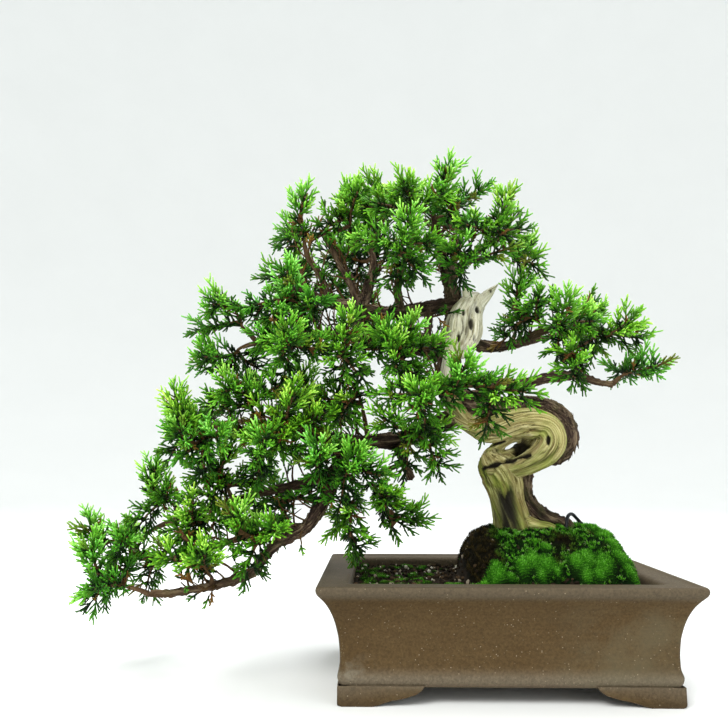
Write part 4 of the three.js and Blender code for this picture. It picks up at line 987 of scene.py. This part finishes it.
def plumes(base, tip, tone, brightness, dry, rng, side_count, fork_count):
    """Fine plumes: each has one axis, side branchlets round it, and forks on the longer of these."""
    away = tip - base
    reach = np.linalg.norm(away, axis=1)
    heading = away / reach[:, None]
    count = len(base)
    sway = around(heading, any_turn(rng, count)) * rng.uniform(0.02, 0.1, count)[:, None]
    start = heading - sway
    # Painted shade: each axis darkens towards its foot, and the plume's brightness is painted light.
    made = [branchlets(base, start, reach, sway, AXIS_RADIUS, 0.25, 4, 4,
                       (0.28 * brightness, 0.96 * brightness), tone, dry)]
    roll = any_turn(rng, count)
    for j in range(side_count):
        t = 0.16 + 0.74 * j / max(side_count - 1, 1) + rng.uniform(-0.035, 0.035, count)
        root = base + start * (reach * t)[:, None] + sway * (reach * t ** 2)[:, None]
        turn = roll + GOLDEN_ANGLE * j + rng.uniform(-0.35, 0.35, count)
        out = around(heading, turn)
        lean = np.radians(rng.uniform(32, 48, count))
        first = heading * np.cos(lean)[:, None] + out * np.sin(lean)[:, None]
        length = (SIDE_LENGTH - 4.4 * t) * np.clip(reach / 15, 0.55, 1.15) * rng.uniform(0.8, 1.2, count)
        bend = heading * 0.16 - out * 0.1 + np.array([0, 0, 0.05])
        # Painted shade darkens each branchlet's inner end, scaled by the plume's painted brightness.
        inner = brightness * (0.3 + 0.42 * t)
        outer = brightness * (0.76 + 0.22 * t)
        shift = clamped(tone + rng.normal(0, 0.08, count))
        rings = 2 if j < 3 else 3
        ages = (inner, outer)
        made.append(branchlets(root, first, length, bend, SIDE_RADIUS, 0.12, rings, 3, ages, shift, dry))
        if j < fork_count:
            fork_root = root + first * (length * 0.42)[:, None]
            hand = 1 if j % 2 else -1
            square = unit(np.cross(first, heading)) * hand
            fork = unit(first * 0.84 + square * 0.5 + heading * 0.2)
            made.append(branchlets(fork_root, fork, length * 0.52, bend * 0.5, FORK_RADIUS, 0.1, 2, 3,
                                   ages, shift, dry))
    return made


def welded(node):
    """A CAD node's corners in the pot's frame, joined where they meet, and its triangles."""
    mesh = node.data
    mesh.calc_loop_triangles()
    points = points_of(mesh)
    _, first, where = np.unique(np.round(points, 2), axis=0, return_index=True, return_inverse=True)
    corners = np.empty(len(mesh.loop_triangles) * 3, np.int32)
    mesh.loop_triangles.foreach_get("vertices", corners)
    faces = where.reshape(-1)[corners].reshape(-1, 3)
    whole = (faces[:, 0] != faces[:, 1]) & (faces[:, 1] != faces[:, 2]) & (faces[:, 0] != faces[:, 2])
    return points[first], faces[whole]


def shoots_of(points, faces):
    """The solid's shoots, as their tips and the three corners of their bases, and the faces left bare."""
    touching = [[] for _ in points]
    for number, face in enumerate(faces):
        for corner in face:
            touching[corner].append(number)
    tips, bases, used = [], [], set()
    for corner, around_it in enumerate(touching):
        if len(around_it) != 3:
            continue
        ring = []
        for number in around_it:
            a = list(faces[number])
            at = a.index(corner)
            ring.append((a[(at + 1) % 3], a[(at + 2) % 3]))
        follow = dict(ring)
        start = ring[0][0]
        loop = [start, follow.get(start), follow.get(follow.get(start))]
        if None in loop or len(set(loop)) != 3:
            continue
        if np.linalg.norm(points[corner] - points[loop].mean(axis=0)) < SHORTEST_SHOOT:
            continue
        tips.append(corner)
        bases.append(loop)
        used.update(around_it)
    bare = [face for number, face in enumerate(faces) if number not in used]
    return np.array(tips), np.array(bases), np.array(bare)


def make_spray(name, seat, number):
    rng = np.random.default_rng(SPRAY_SEED + number)
    points, faces = welded(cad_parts[name])
    tips, bases, bare = shoots_of(points, faces)
    seat = np.array(seat, float)
    base = points[bases].mean(axis=1)
    tip = points[tips]
    spray_tone = np.clip(0.5 + 0.2 * rng.normal(), 0.1, 0.9)
    middle = points.mean(axis=0)
    outwards = unit(tip - middle)
    # Painted light and shade: shoots that point up and out are lighter, those pointing down darker.
    lit = np.clip(0.82 + 0.26 * outwards[:, 2] + rng.normal(0, 0.11, len(tip)), 0.4, 1.1)
    tone = clamped(spray_tone + rng.normal(0, 0.1, len(tip)))
    dry = np.where(rng.random(len(tip)) < DRY_SHARE, 0.85, 0.0) * clamped(1.2 - lit)
    made = plumes(base, tip, tone, lit, dry, rng, *SHOOT_PLUME)
    corner = points[bare]
    centre = corner.mean(axis=1)
    normal = unit(np.cross(corner[:, 1] - corner[:, 0], corner[:, 2] - corner[:, 0]))
    clear = np.linalg.norm(centre - seat, axis=1) > 5.0
    centre, normal = centre[clear], normal[clear]
    count = len(centre)
    forwards = unit(tip.mean(axis=0) - seat)
    heading = unit(normal + 0.55 * forwards + rng.normal(0, 0.22, (count, 3)) + [0, 0, 0.2])
    reach = rng.uniform(5.0, 8.5, count)
    tone = clamped(spray_tone + rng.normal(0, 0.1, count))
    dry = np.where(rng.random(count) < 1.5 * DRY_SHARE, 0.8, 0.0)
    # Painted shade: the plumes on the bare faces sit inside the spray and are darker.
    lit = rng.uniform(0.3, 0.7, count)
    made += plumes(centre, centre + heading * reach[:, None], tone, lit, dry, rng, *TUFT_PLUME)
    shell = np.concatenate([bare, bases])
    zeros = np.zeros(len(points))
    made.append(soup(points, None, shell, 1, age=zeros, tone=zeros, dry=zeros, along=zeros))
    mesh = mesh_of(name + "_plumes", together(made))
    return piece(name + "_plumes", mesh, [GREEN, TWIG], "foliage", name)


def twiglet_places(rng):
    """Where fine twigs leave the limbs: their foot, their direction and their limb's radius."""
    feet, headings = [], []
    for name, rows in LIVE_LIMBS.items():
        samples = smooth_rows(rows, 1.0)
        along, wide, deep = frames_along(samples)
        slim = (samples[:, 3] < 5.3) & (samples[:, 2] > 60)
        near_trunk = (samples[:, 0] > -30) & (samples[:, 2] < 232)
        near_top = (np.abs(samples[:, 0] + 8) < 22) & (samples[:, 2] < 292)
        open_places = np.flatnonzero(slim & ~near_trunk & ~near_top)
        if name == "cut_stub" or len(open_places) < 8:
            continue
        for at in rng.choice(open_places, len(open_places) // TWIGLET_STEP, replace=False):
            turn = any_turn(rng)
            out = wide[at] * math.cos(turn) + deep[at] * math.sin(turn)
            if out[2] < -0.5:
                out = -out
            feet.append(samples[at, :3] + out * 0.6 * samples[at, 3])
            headings.append(out + 0.55 * along[at] + np.array([0, 0, 0.45]) + rng.normal(0, 0.2, 3))
    return np.array(feet), unit(np.array(headings))


def bare_twigs(base, heading, bend, length, radius, tone):
    """Brown twigs: the same tubes as the foliage's branchlets, but of wood."""
    u = np.linspace(0, 1, 4)[None, :, None]
    paths = base[:, None, :] + (heading[:, None, :] * u + bend[:, None, :] * u ** 2) * length[:, None, None]
    widths = radius[:, None] * np.array([[1.0, 0.8, 0.65, 0.5]])
    zeros = np.zeros(widths.shape)
    tones = zeros + tone[:, None]
    return paths[:, -1], tubes(paths, widths, 4, 0.4, 1, age=zeros, tone=tones, dry=zeros, along=zeros)


def make_twiglets():
    """Fine twigs along the limbs inside the canopy, most with a little foliage."""
    rng = np.random.default_rng(TWIGLET_SEED)
    feet, headings = twiglet_places(rng)
    count = len(feet)
    bend = rng.normal(0, 0.22, (count, 3))
    length = rng.uniform(9, 21, count)
    tone = rng.uniform(0.2, 0.8, count)
    ends, wood = bare_twigs(feet, headings, bend, length, rng.uniform(0.7, 1.15, count), tone)
    fork_feet = feet + (headings * 0.55 + bend * 0.3) * length[:, None]
    fork_heading = unit(headings + 0.8 * around(headings, any_turn(rng, count)))
    fork_ends, forks = bare_twigs(fork_feet, fork_heading, -0.5 * bend, 0.55 * length,
                                  np.full(count, 0.6), tone)
    made = [wood, forks]
    for foot, way, share in ((ends, unit(headings + 2 * bend), 0.85), (fork_ends, fork_heading, 0.7)):
        leafy = rng.random(count) < share
        foot, way = foot[leafy], way[leafy]
        reach = rng.uniform(6.5, 11, len(foot))
        dry = np.where(rng.random(len(foot)) < 2 * DRY_SHARE, 0.85, 0.0)
        lit = rng.uniform(0.4, 0.9, len(foot))
        made += plumes(foot, foot + way * reach[:, None], tone[leafy], lit, dry, rng, *TWIG_PLUME)
    mesh = mesh_of("canopy_twiglets", together(made))
    return piece("canopy_twiglets", mesh, [GREEN, TWIG], "foliage")


# Soil and moss


def soil_height(x, y):
    dx = np.where(x < MOUND_X, (x - MOUND_X) / MOUND_LEFT, (x - MOUND_X) / MOUND_RIGHT)
    dy = y / MOUND_DEPTH
    fall = np.maximum(0, 1 - np.abs(dx) ** 8 - np.abs(dy) ** 1.9)
    lumps = 0.9 * np.sin(x * 0.21 + 1.3) * np.sin(y * 0.27) + 0.6 * np.sin(x * 0.43 + y * 0.31)
    return SOIL_LEVEL + MOUND_TOP * fall ** 0.85 + lumps


def moss_thickness(x, y):
    broad = 0.75 * np.sin(x * 0.33 + 0.7) * np.sin(y * 0.3 + 0.4)
    fine = 0.4 * np.sin(x * 0.62 - y * 0.5)
    return 1.15 + 1.5 * np.maximum(0, 1 + broad + fine)


def cushion_height(x, y):
    """Height of the velvet cushions over the mound, and how far up its own cushion each place is."""
    height = np.zeros(len(x))
    share = np.zeros(len(x))
    wander = 1 + 0.22 * field(on_level(x, y), (0.3, 0.3, 1))
    for cx, cy, radius, rise in CUSHIONS:
        dome = np.sqrt(clamped(1 - (np.hypot(x - cx, y - cy) * wander / radius) ** 2))
        height = np.maximum(height, rise * dome)
        share = np.maximum(share, dome)
    return height, share


def greenness(x, y):
    """How green the loose moss is: brown crust on the steep left flank and in patches, green elsewhere."""
    flat = on_level(x, y)
    ragged = 4 * field(flat, (0.12, 0.12, 1)) + 2 * field(flat, (0.4, 0.4, 1))
    left = clamped((x + 2 + ragged) / 5)
    brown = clamped(1.25 - np.hypot((x - 45) / 13, (y + 29) / 11) + 0.09 * ragged)
    islands = clamped(2.2 * field(flat + 31.0, (0.11, 0.11, 1)) - 0.35)
    return clamped(left * (1 - brown) * (1 - islands))


def on_level(x, y):
    return np.stack([x, y, 0 * x], axis=1)


def grid_points(xs, ys):
    x, y = np.meshgrid(xs, ys)
    return x.ravel(), y.ravel()


def grid_quads(columns, rows):
    i = np.arange(columns - 1)[None, :] + np.arange(rows - 1)[:, None] * columns
    return np.stack([i, i + 1, i + columns + 1, i + columns], axis=-1).reshape(-1, 4)


def edge_loop(columns, rows):
    """The numbers of a grid's border, once round."""
    bottom = np.arange(columns)
    right = np.arange(1, rows) * columns + columns - 1
    top = (rows - 1) * columns + np.arange(columns - 2, -1, -1)
    left = np.arange(rows - 2, 0, -1) * columns
    return np.concatenate([bottom, right, top, left])


def make_soil():
    half_x = POT_LENGTH / 2 - RIM_WIDTH - GAP
    half_y = POT_DEPTH / 2 - RIM_WIDTH - GAP
    xs = np.linspace(-half_x, half_x, SOIL_COLUMNS)
    ys = np.linspace(-half_y, half_y, SOIL_ROWS)
    x, y = grid_points(xs, ys)
    over_x = np.maximum(np.abs(x) - (half_x - 3), 0)
    over_y = np.maximum(np.abs(y) - (half_y - 3), 0)
    over = np.maximum(np.hypot(over_x, over_y), 1e-6)
    keep = np.where((over_x > 0) & (over_y > 0), np.minimum(1, 3 / over), 1)
    x = np.sign(x) * (np.abs(x) - over_x * (1 - keep))
    y = np.sign(y) * (np.abs(y) - over_y * (1 - keep))
    flat = on_level(x, y)
    crumbs = field(flat, (0.55, 0.55, 1)) * 0.55 + field(flat, (1.4, 1.4, 1)) * 0.35
    top = soil_height(x, y) - 0.6 + crumbs
    tone = np.clip(0.3 + 0.4 * field(flat, (1.1, 1.1, 1)), 0, 0.7)
    points = np.stack([x, y, top], axis=1)
    border = edge_loop(len(xs), len(ys))
    under = np.stack([x[border] * 0.985, y[border] * 0.98, np.full(len(border), SOIL_UNDERSIDE)], axis=1)
    first = len(points)
    n = np.arange(len(border))
    m = (n + 1) % len(border)
    walls = np.stack([border[n], first + n, first + m, border[m]], axis=1)
    floor = np.stack([first + m, first + n, np.full(len(border), first + len(border))], axis=1)
    points = np.concatenate([points, under, [[0, 0, SOIL_UNDERSIDE]]])
    tones = np.concatenate([tone, np.full(len(border) + 1, 0.2)])
    bed = soup(points, np.concatenate([grid_quads(len(xs), len(ys)), walls]), floor, 0, tone=tones)
    rng = np.random.default_rng(SOIL_SEED)
    count = SOIL_GRAINS
    gx = rng.uniform(-half_x + 1.5, half_x - 1.5, count)
    gy = rng.uniform(-half_y + 1.5, half_y - 1.5, count)
    size = rng.uniform(0.55, 1.7, count) * np.where(rng.random(count) < 0.1, 1.35, 1)
    tone = rng.choice([0.25, 0.5, 0.72, 0.88, 0.97], count, p=[0.4, 0.32, 0.16, 0.07, 0.05])
    grains = pebbles(gx, gy, soil_height(gx, gy) - 0.3 + 0.3 * size, size, tone, rng)
    mesh = mesh_of("soil_bed", together([bed, grains]))
    return piece("soil_bed", mesh, [soil_material()], "soil", "soil")


def pebbles(x, y, z, size, tone, rng):
    """Small angular grains: twelve-cornered solids, each pushed out of shape."""
    phi = (1 + 5 ** 0.5) / 2
    corners = unit(np.array([(-1, phi, 0), (1, phi, 0), (-1, -phi, 0), (1, -phi, 0),
                             (0, -1, phi), (0, 1, phi), (0, -1, -phi), (0, 1, -phi),
                             (phi, 0, -1), (phi, 0, 1), (-phi, 0, -1), (-phi, 0, 1)], float))
    faces = np.array([(0, 11, 5), (0, 5, 1), (0, 1, 7), (0, 7, 10), (0, 10, 11), (1, 5, 9), (5, 11, 4),
                      (11, 10, 2), (10, 7, 6), (7, 1, 8), (3, 9, 4), (3, 4, 2), (3, 2, 6), (3, 6, 8),
                      (3, 8, 9), (4, 9, 5), (2, 4, 11), (6, 2, 10), (8, 6, 7), (9, 8, 1)])
    count = len(x)
    shape = rng.uniform(0.72, 1.25, (count, 12, 1))
    squash = rng.uniform(0.65, 1.15, (count, 1, 3))
    points = corners[None] * shape * squash * size[:, None, None]
    points = points + np.stack([x, y, z], axis=1)[:, None, :]
    index = faces[None] + np.arange(count)[:, None, None] * 12
    return soup(points.reshape(-1, 3), None, index.reshape(-1, 3), 0, tone=np.repeat(tone, 12))


def blades(x, y, z, lean, height, width, rng, **values):
    """Three-sided blades of moss: a small triangle below and one point above."""
    count = len(x)
    turn = any_turn(rng, count)
    foot = []
    for k in range(3):
        angle = turn + k * 2 * math.pi / 3
        foot.append(np.stack([x + np.cos(angle) * width, y + np.sin(angle) * width, z - 0.3], axis=1))
    top = np.stack([x, y, z], axis=1) + lean + np.stack([0 * x, 0 * y, height], axis=1)
    points = np.stack([*foot, top], axis=1).reshape(-1, 3)
    sides = np.array([(0, 1, 3), (1, 2, 3), (2, 0, 3)])
    index = sides[None] + np.arange(count)[:, None, None] * 4
    spread = {}
    for key, (low_value, high_value) in values.items():
        both = np.stack([low_value, low_value, low_value, high_value], axis=1)
        spread[key] = both.reshape(-1, *both.shape[2:])
    return soup(points, None, index.reshape(-1, 3), 0, **spread)


def slope_of(values, columns, step):
    table = values.reshape(-1, columns)
    return np.gradient(table, axis=1).ravel() / step, np.gradient(table, axis=0).ravel() / step


def make_moss():
    rng = np.random.default_rng(MOSS_SEED)
    xs = np.arange(MOSS_LEFT, MOSS_RIGHT + 0.01, MOSS_STEP)
    ys = np.arange(MOSS_FRONT, MOSS_BACK + 0.01, MOSS_STEP)
    x, y = grid_points(xs, ys)
    flat = on_level(x, y)
    green = greenness(x, y)
    rise, velvet = cushion_height(x, y)
    inset = np.minimum.reduce([x - MOSS_LEFT, MOSS_RIGHT - x, y - MOSS_FRONT, MOSS_BACK - y])
    wander = 3.5 + 3.0 * field(flat, (0.13, 0.13, 1))
    edge = clamped(np.maximum((inset - wander) / 3.0, 3 * velvet))
    lumps = 0.9 * field(flat, (0.35, 0.35, 1)) + 0.5 * field(flat, (0.8, 0.8, 1))
    top = soil_height(x, y) - 0.9 + edge ** 0.5 * (1.5 + 0.35 * moss_thickness(x, y)) + edge * lumps + rise
    # Painted light and shade: the skin under the blades is near black, a little lighter on the lumps and
    # much lighter towards the cushions' tops.
    ages = np.where(velvet > 0.2, 0.1 + 0.45 * velvet ** 2, 0.06 + 0.08 * np.clip(lumps, -1, 1))
    lush = np.maximum(green, clamped(4 * velvet))
    skin = soup(np.stack([x, y, top], axis=1), grid_quads(len(xs), len(ys)), None, 0, lush=lush, age=ages)
    slope_x, slope_y = slope_of(top, len(xs), MOSS_STEP)
    outward = unit(np.stack([-slope_x, -slope_y, np.ones(len(x))], axis=1))
    spread = np.sqrt(1 + slope_x ** 2 + slope_y ** 2) * (edge > 0.25)
    parts = [skin, velvet_blades(x, y, top, outward, velvet, spread, rng),
             star_tufts(x, y, top, outward, green, spread * (velvet < 0.35), rng)]
    mesh = mesh_of("moss_cushions", together(parts))
    return piece("moss_cushions", mesh, [MOSS], "moss", "moss_mound")


def velvet_blades(x, y, top, outward, velvet, spread, rng):
    """Short dense blades, square to the cushions: painted light makes them brightest on the cushions' tops,
    and painted shade darkens their feet.
    """
    weight = spread * (velvet > 0.12)
    chosen = rng.choice(len(x), VELVET_BLADES, p=weight / weight.sum())
    count = len(chosen)
    share = velvet[chosen]
    bx = x[chosen] + rng.uniform(-0.5, 0.5, count) * MOSS_STEP
    by = y[chosen] + rng.uniform(-0.5, 0.5, count) * MOSS_STEP
    tall = rng.uniform(0.7, 1.5, count) * (0.6 + 0.5 * share)
    lean = (outward[chosen] + rng.normal(0, 0.28, (count, 3))) * tall[:, None]
    young = np.clip(0.3 + 0.62 * share ** 1.5 + rng.normal(0, 0.12, count), 0, 0.97)
    return blades(bx, by, top[chosen], lean, 0 * tall, rng.uniform(0.22, 0.36, count), rng,
                  lush=(1 + 0 * young, 1 + 0 * young), age=(0.6 * young, young))


def star_tufts(x, y, top, outward, green, weight, rng):
    """Loose moss: small stars of blades with pale tips over a dark ground."""
    chosen = rng.choice(len(x), STARS, p=weight / weight.sum())
    cx = x[chosen] + rng.uniform(-0.5, 0.5, len(chosen)) * MOSS_STEP
    cy = y[chosen] + rng.uniform(-0.5, 0.5, len(chosen)) * MOSS_STEP
    star = np.repeat(np.arange(len(chosen)), STAR_BLADES)
    count = len(star)
    up = outward[chosen][star]
    reference = np.where(np.abs(up[:, 2:3]) < 0.8, [[0.0, 0.0, 1.0]], [[0.0, 1.0, 0.0]])
    side = unit(np.cross(up, reference))
    round_star = np.arange(STAR_BLADES) * 2 * math.pi / STAR_BLADES
    turn = np.tile(round_star, len(chosen)) + rng.uniform(-0.4, 0.4, count)
    out = side * np.cos(turn)[:, None] + np.cross(up, side) * np.sin(turn)[:, None]
    tall = rng.uniform(1.6, 3.0, len(chosen))[star] * rng.uniform(0.75, 1.2, count)
    lean = unit(up * rng.uniform(0.5, 1.5, count)[:, None] + out) * tall[:, None]
    tint = green[chosen][star]
    bright = rng.random(len(chosen)) < 0.55
    light = rng.uniform(0.72, 1.08, len(chosen))
    dark = rng.uniform(0.15, 0.5, len(chosen))
    star_age = np.where(bright, light, dark)[star]
    young = clamped(star_age * (0.75 + 0.25 * tint) + rng.normal(0, 0.06, count))
    # Painted shade darkens the foot of each blade.
    return blades(cx[star], cy[star], top[chosen][star], lean, 0 * tall, rng.uniform(0.36, 0.55, count), rng,
                  lush=(tint, tint), age=(0.55 * young, young))


def make_tufts():
    """Low moss tufts over the level soil, thicker at the left and in front, and behind the mound."""
    rng = np.random.default_rng(TUFT_SEED)
    centres = []
    for (x0, x1, y0, y1), count in TUFT_REGIONS:
        for _ in range(count):
            centres.append((rng.uniform(x0, x1), rng.uniform(y0, y1), rng.uniform(2.2, 5.2)))
    made = []
    for cx, cy, radius in centres:
        count = int(26 * radius)
        distance = radius * np.sqrt(rng.random(count))
        turn = any_turn(rng, count)
        x = cx + np.cos(turn) * distance
        y = cy + np.sin(turn) * distance
        dome = 1.1 * np.sqrt(clamped(1 - (distance / radius) ** 2))
        z = soil_height(x, y) - 0.5 + dome
        height = rng.uniform(0.9, 1.7, count)
        away = np.stack([np.cos(turn), np.sin(turn), 0 * x], axis=1) * (0.5 * distance / radius)[:, None]
        lean = away + rng.normal(0, 0.3, (count, 3)) * [1, 1, 0]
        lush = np.full(count, rng.uniform(0.35, 1.0))
        # Painted light and shade: lighter on the tuft's top, dark at each blade's foot.
        young = clamped(rng.uniform(0.25, 0.6) + 0.35 * dome + rng.normal(0, 0.14, count))
        made.append(blades(x, y, z, lean, height, rng.uniform(0.3, 0.45, count), rng,
                           lush=(lush, lush), age=(0.25 * young, young)))
    mesh = mesh_of("moss_tufts", together(made))
    return piece("moss_tufts", mesh, [MOSS], "moss")


# Pot, screens and wire


def rounded_ring(half_x, half_y, radius, z):
    """A rectangle with round corners: 9 places in each corner and short steps along its sides."""
    corners = [(1, -1, -90), (1, 1, 0), (-1, 1, 90), (-1, -1, 180)]

    def on_corner(number, turn):
        sx, sy, start = corners[number % 4]
        angle = math.radians(start + turn)
        return (sx * (half_x - radius) + math.cos(angle) * radius,
                sy * (half_y - radius) + math.sin(angle) * radius, z)

    places = []
    for number in range(4):
        places += [on_corner(number, 90 * k / 8) for k in range(9)]
        last = places[-1]
        target = on_corner(number + 1, 0)
        steps = 40 if number % 2 else 28
        for k in range(1, steps):
            t = k / steps
            places.append((last[0] + (target[0] - last[0]) * t, last[1] + (target[1] - last[1]) * t, z))
    return np.array(places)


def rounded_profile(rows, step):
    """The pot's profile with small steps between its rows, softened at its edges."""
    rows = np.array(rows, float)
    out = [rows[0]]
    for a, b in zip(rows[:-1], rows[1:]):
        pieces = max(1, int(round(np.linalg.norm((b - a)[:2]) / step)))
        out += [a + (b - a) * k / pieces for k in range(1, pieces + 1)]
    out = np.array(out)
    for _ in range(2):
        out[1:-1] = 0.25 * out[:-2] + 0.5 * out[1:-1] + 0.25 * out[2:]
    return out


def foot_outline(half_span, length):
    """Half of one side's foot: flat below, an ogee towards the middle."""
    inner = half_span - length
    outside = [(half_span - inset, z) for inset, z in FOOT_OGEE]
    return [*outside, (inner + 5, 7.2), (inner + 2, 9.2), (inner, FOOT_HEIGHT + 1)]


def add_foot(form, outline, place):
    """One foot wall: its outline drawn back by the wall's thickness, with a softened edge."""
    bevel = 0.7
    rings = []
    for depth, inset in ((0.0, bevel), (bevel, 0.0), (FOOT_WALL - bevel, 0.0), (FOOT_WALL, bevel)):
        points = np.array(outline, float)
        centre = points.mean(axis=0)
        pull = unit(centre - points) * inset
        pull[np.isclose(points[:, 1], 0)] *= [1, 0]
        rings.append([form.verts.new(place(x, depth, z)) for x, z in points + pull])
    join_loops(form, rings)
    form.faces.new(rings[0][::-1])
    form.faces.new(rings[-1])


def make_pot():
    profile = rounded_profile([*OUTER_PROFILE, *RIM_PROFILE], 1.6)
    profile = np.vstack([profile, [FLOOR_TOP, CAVITY_FLOOR_INSET, 3]])
    rings = [rounded_ring(POT_LENGTH / 2 - inset, POT_DEPTH / 2 - inset, radius, z)
             for z, inset, radius in profile]
    form = bmesh.new()
    loops = [[form.verts.new(p) for p in ring] for ring in rings]
    join_loops(form, loops)
    form.faces.new(loops[0][::-1])
    form.faces.new(loops[-1])
    foot_x = POT_LENGTH / 2 - FOOT_INSET
    foot_y = POT_DEPTH / 2 - FOOT_INSET
    long_outline = foot_outline(foot_x - FOOT_STEP_IN, LONG_FOOT)
    short_outline = foot_outline(foot_y - FOOT_STEP_IN, SHORT_FOOT)
    for sx in (-1, 1):
        for sy in (-1, 1):
            add_foot(form, long_outline, lambda x, d, z, sx=sx, sy=sy: (sx * x, sy * (foot_y - d), z))
            add_foot(form, short_outline, lambda y, d, z, sx=sx, sy=sy: (sx * (foot_x - d), sy * y, z))
    bmesh.ops.recalc_face_normals(form, faces=form.faces)
    mesh = finished(form, "pot_clay")
    move_to(mesh, np.array([v.co for v in mesh.vertices]))
    mesh = with_drains(mesh)
    points = points_of(mesh)
    normals = normals_of(mesh)
    level = clamped(points[:, 2] / POT_TOP)
    lip = clamped((points[:, 2] - 64) / 3)
    moulding = np.exp(-(((points[:, 2] - 15) / 4.5) ** 2))
    front = clamped(-normals[:, 1])
    haze = front * clamped((points[:, 0] - 15) / 40) * clamped((66 - points[:, 2]) / 14)
    corner = clamped((-78 - points[:, 0]) / 22) * clamped((32 - points[:, 2]) / 12)
    lime = corner * clamped((points[:, 2] - 13) / 4)
    give(mesh, level=level, lip=np.maximum(lip, 0.9 * moulding), moulding=moulding, haze=haze, lime=lime)
    smooth_shaded(mesh)
    mesh.set_sharp_from_angle(angle=math.radians(42))
    return piece("pot_clay", mesh, [clay_material()], "clay", "pot")


def with_drains(mesh):
    """The pot with its two drain holes cut through the floor."""
    pot = in_scene("uncut_pot", mesh)
    cutters = []
    for x in (-DRAIN_X, DRAIN_X):
        form = bmesh.new()
        centre = metres([x, 0, FLOOR_TOP])
        bmesh.ops.create_cone(form, cap_ends=True, segments=36, radius1=DRAIN_RADIUS * 0.001,
                              radius2=DRAIN_RADIUS * 0.001, depth=0.04, matrix=Matrix.Translation(centre))
        cutter = in_scene("drain_drill", finished(form, "drain_drill"))
        cut = pot.modifiers.new("drain", "BOOLEAN")
        cut.operation = "DIFFERENCE"
        cut.solver = "EXACT"
        cut.object = cutter
        cutters.append(cutter)
    cut_mesh = evaluated(pot)
    for obj in [pot, *cutters]:
        bpy.data.objects.remove(obj)
    cut_mesh.materials.clear()
    return cut_mesh


def make_screen(side, x):
    """A square of plastic mesh over a drain hole: crossing threads."""
    half = SCREEN_SIDE / 2
    z = FLOOR_TOP + GAP + SCREEN_THICK / 2
    paths = []
    for k in np.linspace(-half + 0.6, half - 0.6, SCREEN_THREADS):
        paths.append([(x + k, -half, z), (x + k, 0, z), (x + k, half, z)])
        paths.append([(x - half, k, z), (x, k, z), (x + half, k, z)])
    threads = tubes(paths, np.full((len(paths), 3), THREAD_RADIUS), 6)
    name = "drain_mesh_" + side
    return piece(name, mesh_of(name, threads), [SCREEN], "screen", "drain_screen_" + side)


def make_wire():
    rows = [(*p, WIRE_RADIUS) for p in WIRE_PATH]
    samples = smooth_rows(rows, 0.8)
    wire = tubes([samples[:, :3]], [samples[:, 3]], 14)
    mesh = mesh_of("anchor_wire_loop", wire)
    return piece("anchor_wire_loop", mesh, [wire_material()], "wire", "anchor_wire")


# Surroundings


def make_floor():
    """A pale floor that rises all round, far away, in one smooth bowl."""
    s = Sheet("pale_floor")
    cloud = s.noise(s.spot(), 3.0, 3.0)
    colour = s.ramp(cloud, [(0.3, (0.82, 0.83, 0.825)), (0.7, (0.835, 0.845, 0.84))])
    material = s.done(colour, 0.9, None, 0.05)
    bend = np.linspace(0, math.pi / 2, 13)
    profile = [(FLOOR_MIDDLE, 0.0)]
    for a in bend:
        profile.append((FLOOR_FLAT + FLOOR_BEND * math.sin(a), FLOOR_BEND * (1 - math.cos(a))))
    profile.append((FLOOR_FLAT + FLOOR_BEND, FLOOR_TOP_EDGE))
    form = bmesh.new()
    loops = []
    for radius, height in profile:
        turns = np.arange(FLOOR_SIDES) * 2 * math.pi / FLOOR_SIDES
        loops.append([form.verts.new((radius * math.cos(t), radius * math.sin(t), height)) for t in turns])
    join_loops(form, loops, True)
    form.faces.new(loops[0])
    bmesh.ops.recalc_face_normals(form, faces=form.faces)
    mesh = finished(form, "studio_floor")
    mesh.materials.append(material)
    floor = in_scene("studio_floor", mesh)


def make_light(name, kind, energy, size, place, aim, colour):
    light = bpy.data.lights.new(name, kind)
    light.energy = energy
    light.color = colour
    light.size = size
    obj = in_scene(name, light)
    obj.location = place
    obj.rotation_euler = (Vector(aim) - Vector(place)).to_track_quat("-Z", "Y").to_euler()


def make_lights():
    middle = (0, 0, 0.18)
    make_light("key", "AREA", 34, 0.9, (-0.75, -1.25, 1.5), middle, (1.0, 0.99, 0.965))
    make_light("fill", "AREA", 8, 1.4, (1.35, -0.95, 0.75), middle, (0.97, 0.99, 1.0))
    make_light("top", "AREA", 20, 0.8, (0.15, 0.35, 1.7), middle, (1.0, 1.0, 1.0))
    world = bpy.data.worlds.new("studio")
    world.use_nodes = True
    background = world.node_tree.nodes["Background"]
    background.inputs["Color"].default_value = (0.96, 0.99, 0.985, 1.0)
    background.inputs["Strength"].default_value = 1.1
    bpy.context.scene.world = world


def make_camera():
    camera = bpy.data.cameras.new("camera")
    camera.lens = CAMERA_FOCAL / FRAME_SIDE * camera.sensor_width
    camera.clip_start = 0.02
    forward = Vector((math.sin(CAMERA_YAW) * math.cos(CAMERA_PITCH),
                      math.cos(CAMERA_YAW) * math.cos(CAMERA_PITCH), math.sin(CAMERA_PITCH)))
    right = Vector((math.cos(CAMERA_YAW), -math.sin(CAMERA_YAW), 0))
    up = right.cross(forward)
    obj = in_scene("camera", camera)
    turn = Matrix((right, up, -forward)).transposed()
    obj.matrix_world = Matrix.Translation(metres(CAMERA_PLACE)) @ turn.to_4x4()
    bpy.context.scene.camera = obj


GREEN = foliage_material()
TWIG = twig_material()
MOSS = moss_material()
SCREEN = screen_material()

make_camera()
make_lights()
make_floor()
make_pot()
make_soil()
make_moss()
make_tufts()
make_wire()
for side, x in (("left", -DRAIN_X), ("right", DRAIN_X)):
    make_screen(side, x)
make_deadwood()
make_live_wood()
make_twiglets()
for number, (name, seat) in enumerate(SEATS.items()):
    make_spray("foliage_" + name, seat, number)

scene = bpy.context.scene
scene.view_settings.view_transform = "Standard"
scene.view_settings.look = "None"
